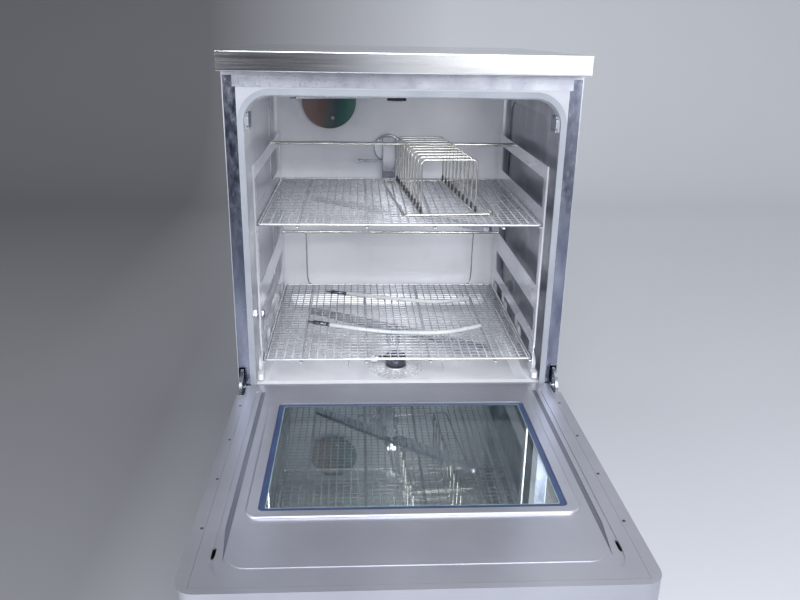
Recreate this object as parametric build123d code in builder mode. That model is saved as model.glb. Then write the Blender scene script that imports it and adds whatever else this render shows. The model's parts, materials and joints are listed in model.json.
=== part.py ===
from build123d import *
from math import cos, pi, radians, sin, tan
import os

os.makedirs("parts", exist_ok=True)

# Instrument washer disinfector with its door open and its basket trolley inside.
# X points right, Y to the back and Z up, in millimetres.
# The origin is on the floor, at mid-width, under the front plane of the body.

# Cabinet
machine_height = 850
lid_width = 600
lid_depth = 610
lid_thickness = 32
body_width = 598
body_depth = 568
sheet = 1.5
tray_sheet = 2
base_height = 40
tray_height = 50
toe_depth = 32
toe_height = 92
service_panel_top = 212
service_panel_depth = 36
plinth_bottom = 15
foot_inset_x = 34
foot_inset_y = 70
foot_pad_radius = 20
foot_pad_height = 10
foot_stud_radius = 5
foot_nut_width = 17
foot_nut_height = 8

# Door
door_width = 594
door_length = 561
door_thickness = 38
door_gap = 2
hinge_inset = 3
door_corner_radius = 27
door_side_return = 17
door_end_return = 10
panel_clearance = 0.3

# Chamber and its opening
chamber_half = 279
chamber_back = 530
chamber_ceiling = 806
wall = 1.5
track_level = 257
track_inner_half = 247
basin_half = 235
basin_level = 234
basin_front = 16
basin_rear = 518
basin_slope_run = 12
press_depth = 2.5
press_front = 140
press_rear = 500
press_bottom = 300
press_top = 737
press_radius = 40
opening_half = 266
opening_top = 780
opening_radius = 45
flange_bottom = 214
flange_top = 793
seal_width = 10
seal_thickness = 1.7
post_inner_half = 277
top_rail_half = 282
top_rail_height = 18

# Spray arms and their spindles
arm_centre_y = 255
arm_thickness = 8
arm_hub_radius = 17
arm_root_width = 34
arm_tip_width = 22
arm_wall = 1.2
spindle_radius = 8
running_clearance = 0.05
end_play = 0.4
spindle_cap_radius = 12
spindle_cap_height = 4
nozzle_radius = 1.5
nozzle_count = 5
lower_arm_level = 264
lower_arm_reach = 225
lower_arm_turn = 148
middle_arm_level = 522
middle_arm_reach = 228
middle_arm_turn = -38
ceiling_arm_level = 759
ceiling_arm_reach = 212
ceiling_arm_turn = 195
ceiling_hub_height = 20

# Sump and filter
sump_centre_y = 133
sump_radius = 98
sump_rim = 10
sump_shell = 2
sump_shoulder = 190
sump_cup_radius = 60
sump_cup_top = 160
sump_bottom = 122
strainer_gap = 0.6
filter_radius = 40
filter_knob_radius = 18
filter_knob_top = 259
lever_level = 250
lever_reach = 50
lever_radius = 4
lever_cap_radius = 7
lever_cap_length = 12

# Water and air system
pipe_level = 140
pump_volute_radius = 58
pump_volute_length = 40
pump_motor_radius = 48
pump_motor_length = 145
riser_radius = 9
riser_y = 549
feed_pipe_radius = 12
branch_level = 215
roof_pipe_radius = 7
port_x = -4
port_level = 620.6
port_radius = 35
port_bore = 15
port_pipe_radius = 8
port_length = 18
baffle_x = -143
baffle_level = 728
baffle_radius = 62
baffle_standoff = 10
air_hole_radius = 35
probe_y = 172
probe_level = 333
probe_nut_width = 22
probe_nut_length = 10
heater_ring_radius = 78
heater_tube_radius = 4
heater_level = 208

# Rear connections in their niche
niche_left = -240
niche_right = -20
niche_bottom = 100
niche_top = 190
niche_plate_y = 531.5
inlet_radius = 13.2
inlet_length = 26
inlet_places = (-215, -175, -135)
drain_x = -90
drain_radius = 11
drain_length = 24
gland_x = -45
gland_radius = 10

# Trolley
frame_half = 256
frame_front = 25
frame_rear = 505
frame_bottom = 318
frame_foot_bottom = 262
frame_top = 662
frame_hem_half = 259
upper_shelf_level = 556
lower_shelf_level = 295
shelf_half = 255.5
shelf_rear = 482
shelf_frame_bar = 6
mesh_wire = 2.5
mesh_gaps_across = 32
mesh_gaps_along = 8
shelf_ledge = 6
rod_radius = 3.5
upper_rod_y = 338
upper_rod_level = 657
lower_rod_y = 466
lower_rod_level = 431
roller_radius = 22
roller_thickness = 5.5
roller_gap = 0.3
roller_places = (49, 190, 345, 481)
axle_radius = 4
feed_duct_front = 492
feed_duct_rear = 506
feed_duct_left = -20
feed_duct_right = 12
feed_duct_top = 649
nozzle_level = 595

# Plate rack on the upper shelf
rack_centre_x = 78.5
rack_centre_y = 266
rack_turn = 5
rack_width = 169.5
rack_length = 345
rack_frame_radius = 2.2
rack_rail_radius = 2
rack_wire_radius = 1.75
rack_corner_radius = 8
rack_hoop_width = 105
rack_hoop_height = 102
rack_hoop_radius = 9
rack_hoop_count = 10
rack_hoop_span = 323

# Door fittings
window_half = 215
window_rear = 88
window_front = 407
window_radius = 8
glass_lip = 7
glass_thickness = 4
glass_clearance = 0.3
frame_rise = 5
frame_border_x = 17.5
frame_border_y = 14
frame_corner_radius = 20
spacer_width = 10
fascia_half = 250
fascia_rear = 470
fascia_front = 548
fascia_thickness = 3
display_half = 60
display_rear = 490
display_front = 525
key_radius = 8
key_y = 508
key_places = (100, 135, 170)
key_names = ("start_key", "stop_key", "program_key")
key_travel = 1.5
key_clearance = 0.3
handle_y = 440
handle_half = 150
handle_drop = 40
handle_radius = 8
lock_level = 737
lock_height = 18
lock_inner_half = 258
lock_thickness = 3.4
lock_travel = 14
lock_slot_margin = 0.8
screw_x = 284
screw_places = (86, 204, 319, 437)
screw_head_radius = 2.2
screw_head_height = 0.8
screw_shank_radius = 1.3

# Hinges
notch_half = 283.5
notch_depth = 41
bracket_inner = 284
bracket_thickness = 3
hinge_arm_thickness = 5
hinge_play = 0.4
hinge_pin_radius = 3
hinge_hub_radius = 9
hinge_tail = 29
hinge_arm_length = 75
hinge_bow_radius = 33
hinge_bow_width = 7

# Loose hoses on the lower shelf
hose_radius = 4.25
hose_lift = 0.3
hose_1_points = ((-108, 397), (-58, 380), (-11, 364), (48, 345), (102, 337), (145, 343), (178, 360))
hose_2_points = ((-140, 196), (-84, 172), (-21, 152), (44, 145), (102, 148), (147, 166), (180, 186))

# Worked-out levels and planes
lid_bottom = machine_height - lid_thickness
lid_front = -(door_gap + door_thickness)
lid_back = lid_front + lid_depth
body_half = body_width / 2
inner_half = body_half - sheet
inner_back = body_depth - sheet
tray_top = base_height + tray_height
chamber_back_outer = chamber_back + wall
chamber_top_outer = chamber_ceiling + wall
hinge_y = -(door_gap + hinge_inset)
hinge_z = track_level - hinge_inset
door_half = door_width / 2
door_rear = -door_gap
door_front = door_rear - door_length
door_bottom = track_level - door_thickness
door_return_half = door_half - door_side_return
panel_half = door_return_half - panel_clearance
base_plate_top = track_level - sheet
base_plate_bottom = base_plate_top - sheet
glass_top = track_level + frame_rise - 2
glass_half = window_half + glass_lip
glass_rear = window_rear - glass_lip
glass_front = window_front + glass_lip
slot_radius = window_radius + glass_lip
hub_bore = spindle_radius + running_clearance
roller_level = track_level + roller_gap + roller_radius
roller_inner = frame_half + sheet + 0.5
shelf_length = shelf_rear - frame_front
shelf_mid_y = (shelf_rear + frame_front) / 2
leg_half = (track_inner_half + chamber_half) / 2


def block(x_low, x_high, y_low, y_high, z_low, z_high, mode=Mode.ADD):
    """A straight block between two corners, in the part being built."""
    middle = ((x_low + x_high) / 2, (y_low + y_high) / 2, (z_low + z_high) / 2)
    with Locations(middle):
        Box(x_high - x_low, y_high - y_low, z_high - z_low, mode=mode)


def rod(start, end, radius, mode=Mode.ADD):
    """A round rod from one point to another, in the part being built."""
    direction = Vector(*end) - Vector(*start)
    with BuildSketch(Plane(origin=start, z_dir=direction)) as disc:
        Circle(radius)
    extrude(disc.sketch, amount=direction.length, mode=mode)


def pair_block(x_low, x_high, y_low, y_high, z_low, z_high, mode=Mode.ADD):
    """The same block on the right and on the left."""
    block(x_low, x_high, y_low, y_high, z_low, z_high, mode)
    block(-x_high, -x_low, y_low, y_high, z_low, z_high, mode)


def outline(half, y_rear, y_front, radius):
    """A rounded rectangle in plan, in the sketch being drawn. Both Y values count forwards."""
    with Locations((0, -(y_rear + y_front) / 2)):
        RectangleRounded(2 * half, y_front - y_rear, radius)


def arch(half, top, bottom, radius):
    """An upright opening with rounded top corners, in the sketch being drawn."""
    with BuildLine() as edge_line:
        Line((-half, bottom), (half, bottom))
        Line((half, bottom), (half, top - radius))
        RadiusArc((half, top - radius), (half - radius, top), -radius)
        Line((half - radius, top), (-half + radius, top))
        RadiusArc((-half + radius, top), (-half, top - radius), -radius)
        Line((-half, top - radius), (-half, bottom))
    make_face(edge_line.edges())


# Base tray with the four legs that carry the chamber
leg_width = 14
leg_front_y = 60
leg_rear_y = 500
with BuildPart() as base_tray:
    block(-inner_half, inner_half, toe_depth, inner_back, base_height, tray_top)
    block(
        -inner_half + tray_sheet,
        inner_half - tray_sheet,
        toe_depth + tray_sheet,
        inner_back - tray_sheet,
        base_height + tray_sheet,
        tray_top,
        Mode.SUBTRACT,
    )
    for leg_y in (leg_front_y, leg_rear_y):
        pair_block(
            leg_half - leg_width / 2,
            leg_half + leg_width / 2,
            leg_y - leg_width / 2,
            leg_y + leg_width / 2,
            base_height + tray_sheet,
            track_level - wall,
        )
    foot_x = body_half - foot_inset_x
    for stud_x in (-foot_x, foot_x):
        for stud_y in (foot_inset_y + leg_width, body_depth - foot_inset_y + leg_width):
            rod(
                (stud_x, stud_y, base_height),
                (stud_x, stud_y, base_height + tray_sheet),
                foot_stud_radius + 0.1,
                Mode.SUBTRACT,
            )
base_tray.part.label = "base_tray"
export_step(base_tray.part, "parts/base_tray.step")

# Four levelling feet, each a pad, a stud and a lock nut
with BuildPart() as levelling_feet:
    for stud_x in (-foot_x, foot_x):
        for stud_y in (foot_inset_y + leg_width, body_depth - foot_inset_y + leg_width):
            with Locations((stud_x, stud_y, foot_pad_height / 2)):
                Cylinder(foot_pad_radius, foot_pad_height)
            rod((stud_x, stud_y, 0), (stud_x, stud_y, base_height + 20), foot_stud_radius)
            with BuildSketch(Plane.XY.offset(base_height - foot_nut_height)):
                with Locations((stud_x, stud_y)):
                    RegularPolygon(foot_nut_width / 2, 6, major_radius=False)
            extrude(amount=foot_nut_height)
levelling_feet.part.label = "levelling_feet"
export_step(levelling_feet.part, "parts/levelling_feet.step")

# Side panels with the toe recess cut out at the front
with BuildPart() as side_panels:
    pair_block(inner_half, body_half, 0, body_depth, base_height, lid_bottom)
    pair_block(inner_half, body_half, 0, toe_depth, base_height, toe_height, Mode.SUBTRACT)
side_panels.part.label = "side_panels"
export_step(side_panels.part, "parts/side_panels.step")

# Rear panel with the recessed niche for the connections
with BuildPart() as rear_panel:
    block(-inner_half, inner_half, inner_back, body_depth, base_height, lid_bottom)
    block(niche_left, niche_right, niche_plate_y, inner_back, niche_bottom, niche_top)
    block(
        niche_left + sheet,
        niche_right - sheet,
        niche_plate_y + sheet,
        body_depth,
        niche_bottom + sheet,
        niche_top - sheet,
        Mode.SUBTRACT,
    )
    for hole_x in inlet_places:
        rod(
            (hole_x, niche_plate_y, pipe_level),
            (hole_x, niche_plate_y + sheet, pipe_level),
            inlet_radius + 0.3,
            Mode.SUBTRACT,
        )
    for hole_x, hole_radius in ((drain_x, drain_radius), (gland_x, gland_radius)):
        rod(
            (hole_x, niche_plate_y, pipe_level),
            (hole_x, niche_plate_y + sheet, pipe_level),
            hole_radius + 0.3,
            Mode.SUBTRACT,
        )
rear_panel.part.label = "rear_panel"
export_step(rear_panel.part, "parts/rear_panel.step")

# Lid, a folded pan that overhangs the closed door
lid_fold = 2
with BuildPart() as lid:
    block(-lid_width / 2, lid_width / 2, lid_front, lid_back, lid_bottom, machine_height)
    fillet(lid.edges().filter_by(Axis.X).group_by(Axis.Y)[0], 2)
    block(
        -lid_width / 2 + lid_fold,
        lid_width / 2 - lid_fold,
        lid_front + lid_fold,
        lid_back - lid_fold,
        lid_bottom + lid_fold,
        machine_height - lid_fold,
        Mode.SUBTRACT,
    )
    block(
        -lid_width / 2 + lid_fold,
        lid_width / 2 - lid_fold,
        lid_fold,
        lid_back - lid_fold,
        lid_bottom,
        lid_bottom + lid_fold,
        Mode.SUBTRACT,
    )
lid.part.label = "lid"
export_step(lid.part, "parts/lid.step")

# Top rail, a strip in front of the flange with a carrier under the lid
rail_depth = 25
with BuildPart() as top_rail:
    block(-top_rail_half, top_rail_half, -sheet, 0, flange_top, flange_top + top_rail_height)
    block(-inner_half, inner_half, 0, rail_depth, flange_top + top_rail_height, lid_bottom)
    block(
        -inner_half + lid_fold,
        inner_half - lid_fold,
        sheet,
        rail_depth,
        flange_top + top_rail_height,
        lid_bottom - sheet,
        Mode.SUBTRACT,
    )
top_rail.part.label = "top_rail"
export_step(top_rail.part, "parts/top_rail.step")

# Front posts, folded sheet with a slot for the hinge
post_depth = 30
post_return_half = 282.5
hinge_slot_bottom = 225
hinge_slot_top = 292
with BuildPart() as front_posts:
    pair_block(post_inner_half, inner_half, 0, sheet, toe_height, flange_top + top_rail_height)
    pair_block(
        post_return_half,
        bracket_inner,
        sheet,
        post_depth,
        toe_height,
        flange_top + top_rail_height - 5,
    )
    pair_block(bracket_inner, inner_half, 0, sheet, hinge_slot_bottom, hinge_slot_top, Mode.SUBTRACT)
front_posts.part.label = "front_posts"
export_step(front_posts.part, "parts/front_posts.step")

# Flange round the opening, flush with the posts
with BuildPart() as opening_flange:
    with BuildSketch(Plane.XZ.offset(-sheet)):
        with Locations((0, (flange_bottom + flange_top) / 2)):
            Rectangle(2 * post_inner_half, flange_top - flange_bottom)
        with BuildSketch(mode=Mode.SUBTRACT):
            arch(opening_half, opening_top, track_level, opening_radius)
    extrude(amount=sheet)
opening_flange.part.label = "opening_flange"
export_step(opening_flange.part, "parts/opening_flange.step")

# Door seal, a flat band on the flange round the opening
with BuildPart() as door_seal:
    with BuildSketch(Plane.XZ):
        arch(
            opening_half + seal_width,
            opening_top + seal_width,
            track_level - seal_width,
            opening_radius + seal_width,
        )
        with BuildSketch(mode=Mode.SUBTRACT):
            arch(opening_half, opening_top, track_level, opening_radius)
    extrude(amount=seal_thickness)
door_seal.part.label = "door_seal"
export_step(door_seal.part, "parts/door_seal.step")


def basin(grow, low, high):
    """The two ends of the tapered basin between the tracks, for a loft."""
    slope = basin_slope_run
    mid_y = (basin_front + basin_rear) / 2
    length = basin_rear - basin_front
    with BuildSketch(Plane.XY.offset(high)) as mouth:
        with Locations((0, mid_y)):
            Rectangle(2 * (track_inner_half + grow), length + 2 * grow)
    with BuildSketch(Plane.XY.offset(low)) as floor:
        with Locations((0, mid_y)):
            Rectangle(2 * (basin_half + grow), length - 2 * slope + 2 * grow)
    return [floor.sketch, mouth.sketch]


# Wash chamber, a tub that is open at the front
spindle_hole = feed_pipe_radius + 0.3
with BuildPart() as wash_chamber:
    outer_half = chamber_half + wall
    block(-outer_half, outer_half, sheet, chamber_back_outer, track_level - wall, chamber_top_outer)
    loft(basin(wall, basin_level - wall, track_level - wall))
    press_mid = ((press_front + press_rear) / 2, (press_bottom + press_top) / 2)
    for side in (-1, 1):
        with BuildSketch(Plane.YZ.offset(side * chamber_half)):
            with Locations(press_mid):
                RectangleRounded(
                    press_rear - press_front + 2 * wall,
                    press_top - press_bottom + 2 * wall,
                    press_radius,
                )
        extrude(amount=side * (press_depth + wall))
    block(
        -chamber_half, chamber_half, sheet, chamber_back, track_level, chamber_ceiling, Mode.SUBTRACT
    )
    loft(basin(0, basin_level, track_level), mode=Mode.SUBTRACT)
    for side in (-1, 1):
        with BuildSketch(Plane.YZ.offset(side * chamber_half)):
            with Locations(press_mid):
                RectangleRounded(press_rear - press_front, press_top - press_bottom, press_radius)
        extrude(amount=side * press_depth, mode=Mode.SUBTRACT)
    rod(
        (0, sump_centre_y, basin_level - wall),
        (0, sump_centre_y, basin_level),
        sump_radius,
        Mode.SUBTRACT,
    )
    rod(
        (0, arm_centre_y, basin_level - wall),
        (0, arm_centre_y, basin_level),
        spindle_hole,
        Mode.SUBTRACT,
    )
    rod(
        (0, arm_centre_y, chamber_ceiling),
        (0, arm_centre_y, chamber_top_outer),
        riser_radius + 0.3,
        Mode.SUBTRACT,
    )
    rod(
        (port_x, chamber_back, port_level),
        (port_x, chamber_back_outer, port_level),
        port_bore + 3,
        Mode.SUBTRACT,
    )
    rod(
        (baffle_x, chamber_back, baffle_level),
        (baffle_x, chamber_back_outer, baffle_level),
        air_hole_radius,
        Mode.SUBTRACT,
    )
    rod(
        (-chamber_half - press_depth - wall, probe_y, probe_level),
        (-chamber_half, probe_y, probe_level),
        probe_nut_width / 4 + 0.3,
        Mode.SUBTRACT,
    )
wash_chamber.part.label = "wash_chamber"
export_step(wash_chamber.part, "parts/wash_chamber.step")

# Thermal jacket over the sides and the top of the chamber
jacket_inner = chamber_half + press_depth + wall + 0.3
jacket_thickness = 10
jacket_front = 45
jacket_bottom = 262
jacket_top = lid_bottom - 0.5
with BuildPart() as thermal_jacket:
    jacket_half = jacket_inner + jacket_thickness
    block(-jacket_half, jacket_half, jacket_front, chamber_back, jacket_bottom, jacket_top)
    block(
        -jacket_inner,
        jacket_inner,
        jacket_front,
        chamber_back,
        jacket_bottom,
        chamber_top_outer + 0.3,
        Mode.SUBTRACT,
    )
    block(
        -2 * roof_pipe_radius,
        2 * roof_pipe_radius,
        arm_centre_y - 2 * riser_radius,
        chamber_back,
        chamber_top_outer,
        jacket_top,
        Mode.SUBTRACT,
    )
    rod(
        (-jacket_half, probe_y, probe_level),
        (-jacket_inner, probe_y, probe_level),
        probe_nut_width / 2,
        Mode.SUBTRACT,
    )
thermal_jacket.part.label = "thermal_jacket"
export_step(thermal_jacket.part, "parts/thermal_jacket.step")

# Sump bowl hung under the basin floor
with BuildPart() as sump:
    rim_top = basin_level - wall
    with BuildSketch(Plane.XZ.offset(-sump_centre_y)):
        with BuildLine():
            Polyline(
                (0, sump_bottom),
                (sump_cup_radius, sump_bottom),
                (sump_cup_radius, sump_cup_top),
                (sump_radius + sump_shell, sump_shoulder),
                (sump_radius + sump_shell, rim_top - sump_shell),
                (sump_radius + sump_rim, rim_top - sump_shell),
                (sump_radius + sump_rim, rim_top),
                (sump_radius, rim_top),
                (sump_radius, sump_shoulder + sump_shell),
                (sump_cup_radius - sump_shell, sump_cup_top + sump_shell),
                (sump_cup_radius - sump_shell, sump_bottom + sump_shell),
                (0, sump_bottom + sump_shell),
                close=True,
            )
        make_face()
    revolve(axis=Axis((0, sump_centre_y, 0), (0, 0, 1)))
    rod(
        (0, sump_centre_y + sump_cup_radius - 2 * sump_shell, pipe_level),
        (0, sump_centre_y + sump_cup_radius + sump_shell, pipe_level),
        feed_pipe_radius,
        Mode.SUBTRACT,
    )
    rod(
        (-sump_cup_radius - sump_shell, sump_centre_y, pipe_level),
        (-sump_cup_radius + 2 * sump_shell, sump_centre_y, pipe_level),
        drain_radius,
        Mode.SUBTRACT,
    )
    for lead_turn in (160, 200):
        lead = Vector(cos(radians(lead_turn)), sin(radians(lead_turn)), 0)
        centre = Vector(0, sump_centre_y, heater_level)
        rod(
            tuple(centre + lead * (sump_radius - sump_shell)),
            tuple(centre + lead * (sump_radius + 2 * sump_shell)),
            heater_tube_radius + 0.3,
            Mode.SUBTRACT,
        )
sump.part.label = "sump"
export_step(sump.part, "parts/sump.step")

# Tubular heater, a ring in the sump with two leads through its wall
with BuildPart() as heating_element:
    with Locations((0, sump_centre_y, heater_level)):
        Torus(heater_ring_radius, heater_tube_radius)
    for lead_turn in (160, 200):
        lead = Vector(cos(radians(lead_turn)), sin(radians(lead_turn)), 0)
        centre = Vector(0, sump_centre_y, heater_level)
        rod(
            tuple(centre + lead * heater_ring_radius),
            tuple(centre + lead * (sump_radius + 14)),
            heater_tube_radius,
        )
        rod(
            tuple(centre + lead * (sump_radius + sump_shell + 2)),
            tuple(centre + lead * (sump_radius + sump_shell + 5)),
            2 * heater_tube_radius,
        )
heating_element.part.label = "heating_element"
export_step(heating_element.part, "parts/heating_element.step")

# Strainer plate with the fine filter, its knob and its chrome-capped lever
strainer_hole = 2.5
with BuildPart() as fine_filter:
    plate_top = basin_level - wall
    rod(
        (0, sump_centre_y, plate_top - wall),
        (0, sump_centre_y, plate_top),
        sump_radius - strainer_gap,
    )
    for ring_radius, ring_count in ((28, 14), (37, 18), (46, 24), (54, 30)):
        with BuildSketch(Plane.XY.offset(plate_top - wall)):
            with Locations((0, sump_centre_y)):
                with PolarLocations(ring_radius, ring_count):
                    Circle(strainer_hole)
        extrude(amount=wall, mode=Mode.SUBTRACT)
    rod(
        (0, sump_centre_y, sump_cup_top - 10),
        (0, sump_centre_y, plate_top - wall),
        filter_radius,
    )
    rod(
        (0, sump_centre_y, sump_cup_top - 10),
        (0, sump_centre_y, plate_top - 2 * wall),
        filter_radius - sump_shell,
        Mode.SUBTRACT,
    )
    rod((0, sump_centre_y, plate_top), (0, sump_centre_y, filter_knob_top), filter_knob_radius)
    fillet(fine_filter.edges().group_by(Axis.Z)[-1], 3)
    rod(
        (0, sump_centre_y, lever_level),
        (-lever_reach + lever_cap_length, sump_centre_y, lever_level),
        lever_radius,
    )
    rod(
        (-lever_reach + lever_cap_length, sump_centre_y, lever_level),
        (-lever_reach, sump_centre_y, lever_level),
        lever_cap_radius,
    )
fine_filter.part.label = "fine_filter"
export_step(fine_filter.part, "parts/fine_filter.step")

# Circulation pump behind the sump, its volute under the spindle of the lower arm
volute_front = arm_centre_y - pump_volute_length / 2
volute_rear = arm_centre_y + pump_volute_length / 2
pump_foot_half = 30
with BuildPart() as circulation_pump:
    rod((0, volute_front, pipe_level), (0, volute_rear, pipe_level), pump_volute_radius)
    rod(
        (0, volute_rear, pipe_level),
        (0, volute_rear + pump_motor_length, pipe_level),
        pump_motor_radius,
    )
    rod(
        (0, sump_centre_y + sump_cup_radius, pipe_level),
        (0, volute_front, pipe_level),
        feed_pipe_radius + 4,
    )
    for foot_y in (volute_rear + 20, volute_rear + pump_motor_length - 30):
        block(
            -pump_foot_half,
            pump_foot_half,
            foot_y - 8,
            foot_y + 8,
            base_height + tray_sheet,
            pipe_level,
        )
    with Locations((0, volute_rear + pump_motor_length / 2, pipe_level + pump_motor_radius)):
        Box(40, 70, 24)
circulation_pump.part.label = "circulation_pump"
export_step(circulation_pump.part, "parts/circulation_pump.step")

# Supply pipes: column of the lower arm, riser, port branch, roof pipe and ceiling spindle
column_radius = 15
lower_cap_level = lower_arm_level + arm_thickness + end_play
ceiling_hub_top = ceiling_arm_level + arm_thickness + ceiling_hub_height - arm_thickness
roof_pipe_level = chamber_top_outer + roof_pipe_radius + 4
with BuildPart() as supply_pipes:
    rod(
        (0, arm_centre_y, pipe_level + pump_volute_radius),
        (0, arm_centre_y, basin_level),
        feed_pipe_radius,
    )
    rod((0, arm_centre_y, basin_level), (0, arm_centre_y, lower_arm_level - end_play), column_radius)
    rod(
        (0, arm_centre_y, lower_arm_level - end_play),
        (0, arm_centre_y, lower_cap_level),
        spindle_radius,
    )
    rod(
        (0, arm_centre_y, lower_cap_level),
        (0, arm_centre_y, lower_cap_level + spindle_cap_height),
        spindle_cap_radius,
    )
    rod((0, arm_centre_y, branch_level), (0, riser_y, branch_level), roof_pipe_radius)
    rod(
        (0, riser_y, branch_level - riser_radius),
        (0, riser_y, roof_pipe_level + riser_radius),
        riser_radius,
    )
    rod((port_x, riser_y, port_level), (port_x, chamber_back_outer, port_level), port_pipe_radius)
    rod((0, riser_y, roof_pipe_level), (0, arm_centre_y, roof_pipe_level), roof_pipe_radius)
    rod(
        (0, arm_centre_y, roof_pipe_level + riser_radius),
        (0, arm_centre_y, ceiling_hub_top + end_play),
        riser_radius,
    )
    rod(
        (0, arm_centre_y, ceiling_hub_top + end_play),
        (0, arm_centre_y, ceiling_arm_level - end_play),
        spindle_radius,
    )
    rod(
        (0, arm_centre_y, ceiling_arm_level - end_play),
        (0, arm_centre_y, ceiling_arm_level - end_play - spindle_cap_height),
        spindle_cap_radius,
    )
supply_pipes.part.label = "supply_pipes"
export_step(supply_pipes.part, "parts/supply_pipes.step")

# Docking port on the back wall, with the bore that the trolley's spigot enters
port_front = chamber_back - port_length
with BuildPart() as docking_port:
    rod((port_x, port_front, port_level), (port_x, chamber_back, port_level), port_radius)
    fillet(docking_port.edges().group_by(Axis.Y)[0], 4)
    rod((port_x, port_front, port_level), (port_x, chamber_back, port_level), port_bore, Mode.SUBTRACT)
    with BuildSketch(Plane.XZ.offset(-chamber_back_outer)):
        with Locations((port_x, port_level)):
            Circle(port_bore + 2.7)
            Circle(port_pipe_radius, mode=Mode.SUBTRACT)
    extrude(amount=wall)
docking_port.part.label = "docking_port"
export_step(docking_port.part, "parts/docking_port.step")

# Baffle disc on three studs in front of the air inlet, with its screw
baffle_sheet = 1.5
with BuildPart() as baffle_disc:
    disc_rear = chamber_back - baffle_standoff
    rod(
        (baffle_x, disc_rear - baffle_sheet, baffle_level),
        (baffle_x, disc_rear, baffle_level),
        baffle_radius,
    )
    for stud_turn in (30, 150, 270):
        stud_x = baffle_x + (baffle_radius - 18) * cos(radians(stud_turn))
        stud_z = baffle_level + (baffle_radius - 18) * sin(radians(stud_turn))
        rod((stud_x, disc_rear, stud_z), (stud_x, chamber_back, stud_z), 4)
    rod(
        (baffle_x + 8, disc_rear - baffle_sheet - 2, baffle_level - 37),
        (baffle_x + 8, disc_rear, baffle_level - 37),
        4,
    )
baffle_disc.part.label = "baffle_disc"
export_step(baffle_disc.part, "parts/baffle_disc.step")

# Temperature probe in the left wall
with BuildPart() as temperature_probe:
    with BuildSketch(Plane.YZ.offset(-chamber_half)):
        with Locations((probe_y, probe_level)):
            RegularPolygon(probe_nut_width / 2, 6)
    extrude(amount=probe_nut_length)
    rod(
        (-chamber_half, probe_y, probe_level),
        (-jacket_inner - 6, probe_y, probe_level),
        probe_nut_width / 4,
    )
temperature_probe.part.label = "temperature_probe"
export_step(temperature_probe.part, "parts/temperature_probe.step")


def spray_blades(reach, level, thickness):
    """Two hollow blades from the hub to the tips, in the part being built, along X."""
    for grow in (0, arm_wall):
        mode = Mode.SUBTRACT if grow else Mode.ADD
        with BuildSketch(Plane.XY.offset(level + grow)) as blades:
            for end in (-1, 1):
                with BuildLine():
                    Polyline(
                        (0, arm_root_width / 2 - grow),
                        (end * (reach - arm_tip_width / 2), arm_tip_width / 2 - grow),
                        (end * (reach - arm_tip_width / 2), -arm_tip_width / 2 + grow),
                        (0, -arm_root_width / 2 + grow),
                        close=True,
                    )
                make_face()
                with Locations((end * (reach - arm_tip_width / 2), 0)):
                    Circle(arm_tip_width / 2 - grow)
        extrude(blades.sketch, amount=thickness - 2 * grow, mode=mode)


def spray_arm(reach, level, hub_low, hub_high, nozzles_up):
    """A spray arm about the Z axis, lying along X, with a bored hub and a row of nozzles."""
    with BuildPart() as arm:
        spray_blades(reach, level, arm_thickness)
        rod((0, 0, hub_low), (0, 0, hub_high), arm_hub_radius)
        skin_low = level + arm_thickness - arm_wall if nozzles_up else level
        spacing = (reach - 2 * arm_tip_width) / nozzle_count
        with BuildSketch(Plane.XY.offset(skin_low)):
            for end in (-1, 1):
                for step in range(nozzle_count):
                    with Locations((end * (2 * arm_hub_radius + step * spacing), 0)):
                        Circle(nozzle_radius)
        extrude(amount=arm_wall, mode=Mode.SUBTRACT)
        rod((0, 0, hub_low), (0, 0, hub_high), hub_bore, Mode.SUBTRACT)
    return arm.part


def placed(part, x, y, turn, name):
    """The finished part turned about Z, moved to its centre in plan and named."""
    moved = Pos(x, y, 0) * Rot(0, 0, turn) * part
    moved.label = name
    return moved


# Spray arms: above the basin floor, under the upper shelf and under the ceiling
lower_spray_arm = placed(
    spray_arm(
        lower_arm_reach,
        lower_arm_level,
        lower_arm_level,
        lower_arm_level + arm_thickness,
        True,
    ),
    0,
    arm_centre_y,
    lower_arm_turn,
    "lower_spray_arm",
)
export_step(lower_spray_arm, "parts/lower_spray_arm.step")

ceiling_spray_arm = placed(
    spray_arm(
        ceiling_arm_reach,
        ceiling_arm_level,
        ceiling_arm_level,
        ceiling_hub_top,
        False,
    ),
    0,
    arm_centre_y,
    ceiling_arm_turn,
    "ceiling_spray_arm",
)
export_step(ceiling_spray_arm, "parts/ceiling_spray_arm.step")

middle_arm_y = arm_centre_y + 5
middle_spray_arm = placed(
    spray_arm(
        middle_arm_reach,
        middle_arm_level,
        middle_arm_level,
        middle_arm_level + arm_thickness,
        True,
    ),
    0,
    middle_arm_y,
    middle_arm_turn,
    "middle_spray_arm",
)
export_step(middle_spray_arm, "parts/middle_spray_arm.step")

# Drain pump beside the sump, with its pipe to the rear niche
drain_pump_radius = 32
drain_pump_right = -80
drain_pump_left = -120
drain_motor_radius = 26
drain_motor_length = 70
with BuildPart() as drain_pump:
    rod(
        (drain_pump_right, sump_centre_y, pipe_level),
        (drain_pump_left, sump_centre_y, pipe_level),
        drain_pump_radius,
    )
    rod(
        (-sump_cup_radius, sump_centre_y, pipe_level),
        (drain_pump_right, sump_centre_y, pipe_level),
        drain_radius,
    )
    rod(
        (drain_pump_left, sump_centre_y, pipe_level),
        (drain_pump_left - drain_motor_length, sump_centre_y, pipe_level),
        drain_motor_radius,
    )
    rod(
        (drain_x, sump_centre_y, pipe_level),
        (drain_x, niche_plate_y, pipe_level),
        riser_radius,
    )
    block(
        drain_pump_left - 50,
        drain_pump_left - 20,
        sump_centre_y - 15,
        sump_centre_y + 15,
        base_height + tray_sheet,
        pipe_level,
    )
drain_pump.part.label = "drain_pump"
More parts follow.
